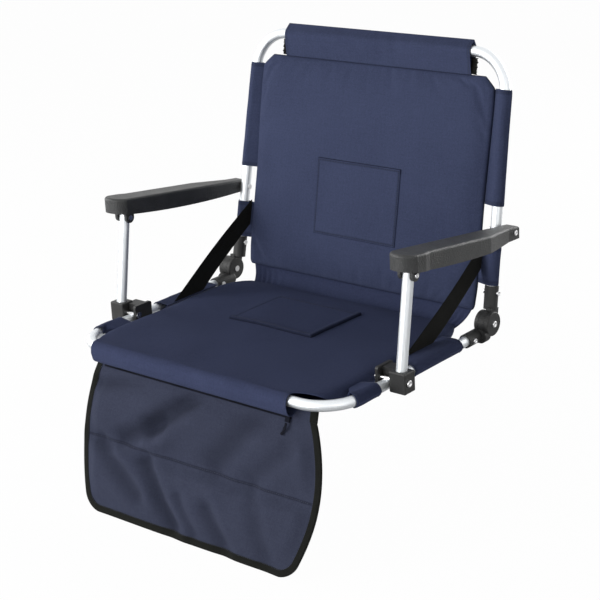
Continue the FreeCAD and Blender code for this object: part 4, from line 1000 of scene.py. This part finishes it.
ALUMINIUM = satin_metal("satin_aluminium", (0.83, 0.86, 0.885), 0.46, (700, 700, 20))
STEEL = satin_metal("rivet_steel", (0.78, 0.78, 0.79), 0.24, (300, 300, 300))
PLASTIC = grained_plastic("fitting_plastic", (0.012, 0.012, 0.0122), (0.022, 0.022, 0.0222),
                          grain=0.0009, strength=0.35, roughness=0.5)
ARM_PLASTIC = grained_plastic("armrest_plastic", (0.030, 0.0312, 0.032), (0.050, 0.0515, 0.0525),
                              grain=0.0020, strength=0.75, roughness=0.45)
ZIP_PLASTIC = grained_plastic("zip_plastic", (0.006, 0.007, 0.011), (0.011, 0.012, 0.020),
                              grain=0.0008, strength=0.2, roughness=0.85, gloss=0.08)
FINISH = {"frame_tube": ALUMINIUM, "fitting_plastic": PLASTIC, "armrest_plastic": ARM_PLASTIC,
          "rivet_steel": STEEL, "zip": ZIP_PLASTIC, "zip_tag": ZIP_PLASTIC, "grip_tape": WEBBING}
dress(tag, ZIP_PLASTIC, "zip", "zip_tag", "zip_pull")
for entry in frame["record"]["subparts"]:
    finish = FINISH.get(entry["material_slot"])
    if finish:
        node = frame["nodes"][entry["node"]]
        node.data.materials.clear()
        node.data.materials.append(finish)
print("finishes", sorted(m.name for m in set(FINISH.values())))

# %% Rivet heads
# Each rivet's outer end gets a low dome with a dimple: a profile of radius and height turned about X.
body_of = {node: body for body, nodes in frame["record"]["behaviour"]["bodies"].items() for node in nodes}
DOME_R = np.array([1.0, 0.98, 0.9, 0.78, 0.64, 0.52, 0.44, 0.36, 0.2, 0.0])
DOME_H = np.array([-0.0002, 0.0006, 0.0011, 0.0014, 0.0014, 0.0011, 0.0005, 0.0002, 0.0001, 0.0001])
turn = np.linspace(0, 2 * np.pi, 25)[None, :]
BOTH = (1, -1)
RIVETS = {"hinge_pins": BOTH, "lower_socket_rivets": BOTH, "upper_socket_rivets": BOTH,
          "arm_pivot_rivets": BOTH, "bracket_pivot_pins": BOTH,
          "ear_rivet_right": (1,), "ear_rivet_left": (-1,)}
for node, ends in RIVETS.items():
    low, high = (np.array(corner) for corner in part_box(node))
    size = min(high[1] - low[1], high[2] - low[2]) / 2
    for sign in ends:
        x = (high[0] if sign > 0 else low[0]) + sign * DOME_H[:, None] + 0 * turn
        y = (low[1] + high[1]) / 2 + size * DOME_R[:, None] * np.cos(turn)
        z = (low[2] + high[2]) / 2 + size * DOME_R[:, None] * np.sin(turn)
        dome = surface(f"{node}_head_{'right' if sign > 0 else 'left'}", np.stack([x, y, z], axis=-1))
        close_seams(dome)
        finish_cloth(dome)
        dress(dome, STEEL, body_of[node], "rivet_steel")
print("rivet heads", sum(len(ends) for ends in RIVETS.values()))

# %% [markdown]
# ## Camera and light
#
# The camera was recovered from the photograph: its place, its turn and its lens. The light is a plain bright
# studio: a white surround, lamps in front, high up, on the left and behind, and a weaker one on the right.

# %% Camera
YAW, PITCH, ROLL = 0.70969, 0.33643, -0.05365
FOCAL_PX = 1617.74
PHOTO_PX = 600
toward = np.array([math.sin(YAW) * math.cos(PITCH), -math.cos(YAW) * math.cos(PITCH), math.sin(PITCH)])
level = np.array([math.cos(YAW), math.sin(YAW), 0.0])
rise = np.cross(toward, level)
right = math.cos(ROLL) * level + math.sin(ROLL) * rise
above = math.cos(ROLL) * rise - math.sin(ROLL) * level
pose = np.eye(4)
pose[:3, 0], pose[:3, 1], pose[:3, 2] = right, above, toward
pose[:3, 3] = (1.51638, -1.71472, 0.86755)
lens = bpy.data.cameras.new("photo_camera")
lens.sensor_width = 36.0
lens.lens = FOCAL_PX / PHOTO_PX * lens.sensor_width
camera = bpy.data.objects.new("photo_camera", lens)
camera.matrix_world = Matrix(pose.tolist())
bpy.context.scene.collection.objects.link(camera)
bpy.context.scene.camera = camera
print("lens", round(lens.lens, 1), "mm")


# %% Lamps, surround and floor
def lamp(name, place, target, size, power):
    """Square lamp at a place, turned to look at a target."""
    light = bpy.data.lights.new(name, "AREA")
    light.size = size
    light.energy = power
    obj = bpy.data.objects.new(name, light)
    back = np.array(place, float) - np.array(target, float)
    back /= np.linalg.norm(back)
    side = np.cross([0.0, 0.0, 1.0], back)
    side /= np.linalg.norm(side)
    turn = np.eye(4)
    turn[:3, 0], turn[:3, 1], turn[:3, 2], turn[:3, 3] = side, np.cross(back, side), back, place
    obj.matrix_world = Matrix(turn.tolist())
    bpy.context.scene.collection.objects.link(obj)


MIDDLE = (0, 0, 0.1)
lamp("front_lamp", (-0.5, -2.7, 0.6), MIDDLE, 1.6, 36)
lamp("high_lamp", (-1.2, -2.0, 1.5), MIDDLE, 1.2, 20)
lamp("left_lamp", (-2.5, -0.6, 0.8), MIDDLE, 1.2, 20)
lamp("right_lamp", (2.5, -1.1, 0.7), MIDDLE, 1.2, 7)
lamp("rear_lamp", (0.5, 2.7, 0.8), MIDDLE, 1.6, 30)

world = bpy.data.worlds.new("white_studio")
bpy.context.scene.world = world
world.use_nodes = True
sky = world.node_tree.nodes["Background"]
sky.inputs["Color"].default_value = (1, 1, 1, 1)
seen = add(world.node_tree, "ShaderNodeLightPath")
direct = seen.outputs["Is Camera Ray"]
for ray in ("Is Glossy Ray", "Is Transmission Ray"):
    larger = add(world.node_tree, "ShaderNodeMath", [(direct, 0), (seen.outputs[ray], 1)], operation="MAXIMUM")
    direct = larger.outputs[0]
strength = add(world.node_tree, "ShaderNodeMapRange", [(direct, "Value")])
strength.inputs["To Min"].default_value = 0.12
strength.inputs["To Max"].default_value = 1.0
world.node_tree.links.new(strength.outputs["Result"], sky.inputs["Strength"])

floor_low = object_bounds()[0][2] - 0.002
corner_x, corner_y = np.meshgrid(np.linspace(-6, 6, 3), np.linspace(-6, 6, 3))
floor = surface("studio_floor", np.stack([corner_x, corner_y, 0 * corner_x + floor_low], axis=-1))
paper, paper_tree, paper_shader = tree_of("white_paper")
paper_shader.inputs["Base Color"].default_value = (0.92, 0.92, 0.92, 1)
paper_shader.inputs["Roughness"].default_value = 0.9
path = add(paper_tree, "ShaderNodeLightPath")
glow = add(paper_tree, "ShaderNodeEmission", Strength=1.0)
share = add(paper_tree, "ShaderNodeMath", [(path.outputs["Is Camera Ray"], 0)], operation="MULTIPLY")
share.inputs[1].default_value = 0.98
blend_in = add(paper_tree, "ShaderNodeMixShader", [(share.outputs[0], "Fac")])
paper_tree.links.new(paper_shader.outputs["BSDF"], blend_in.inputs[1])
paper_tree.links.new(glow.outputs["Emission"], blend_in.inputs[2])
paper_tree.links.new(blend_in.outputs["Shader"], paper_tree.nodes["Material Output"].inputs["Surface"])
floor.data.materials.append(paper)
bpy.context.scene.view_settings.view_transform = "Standard"
print("floor at", round(floor_low, 3))
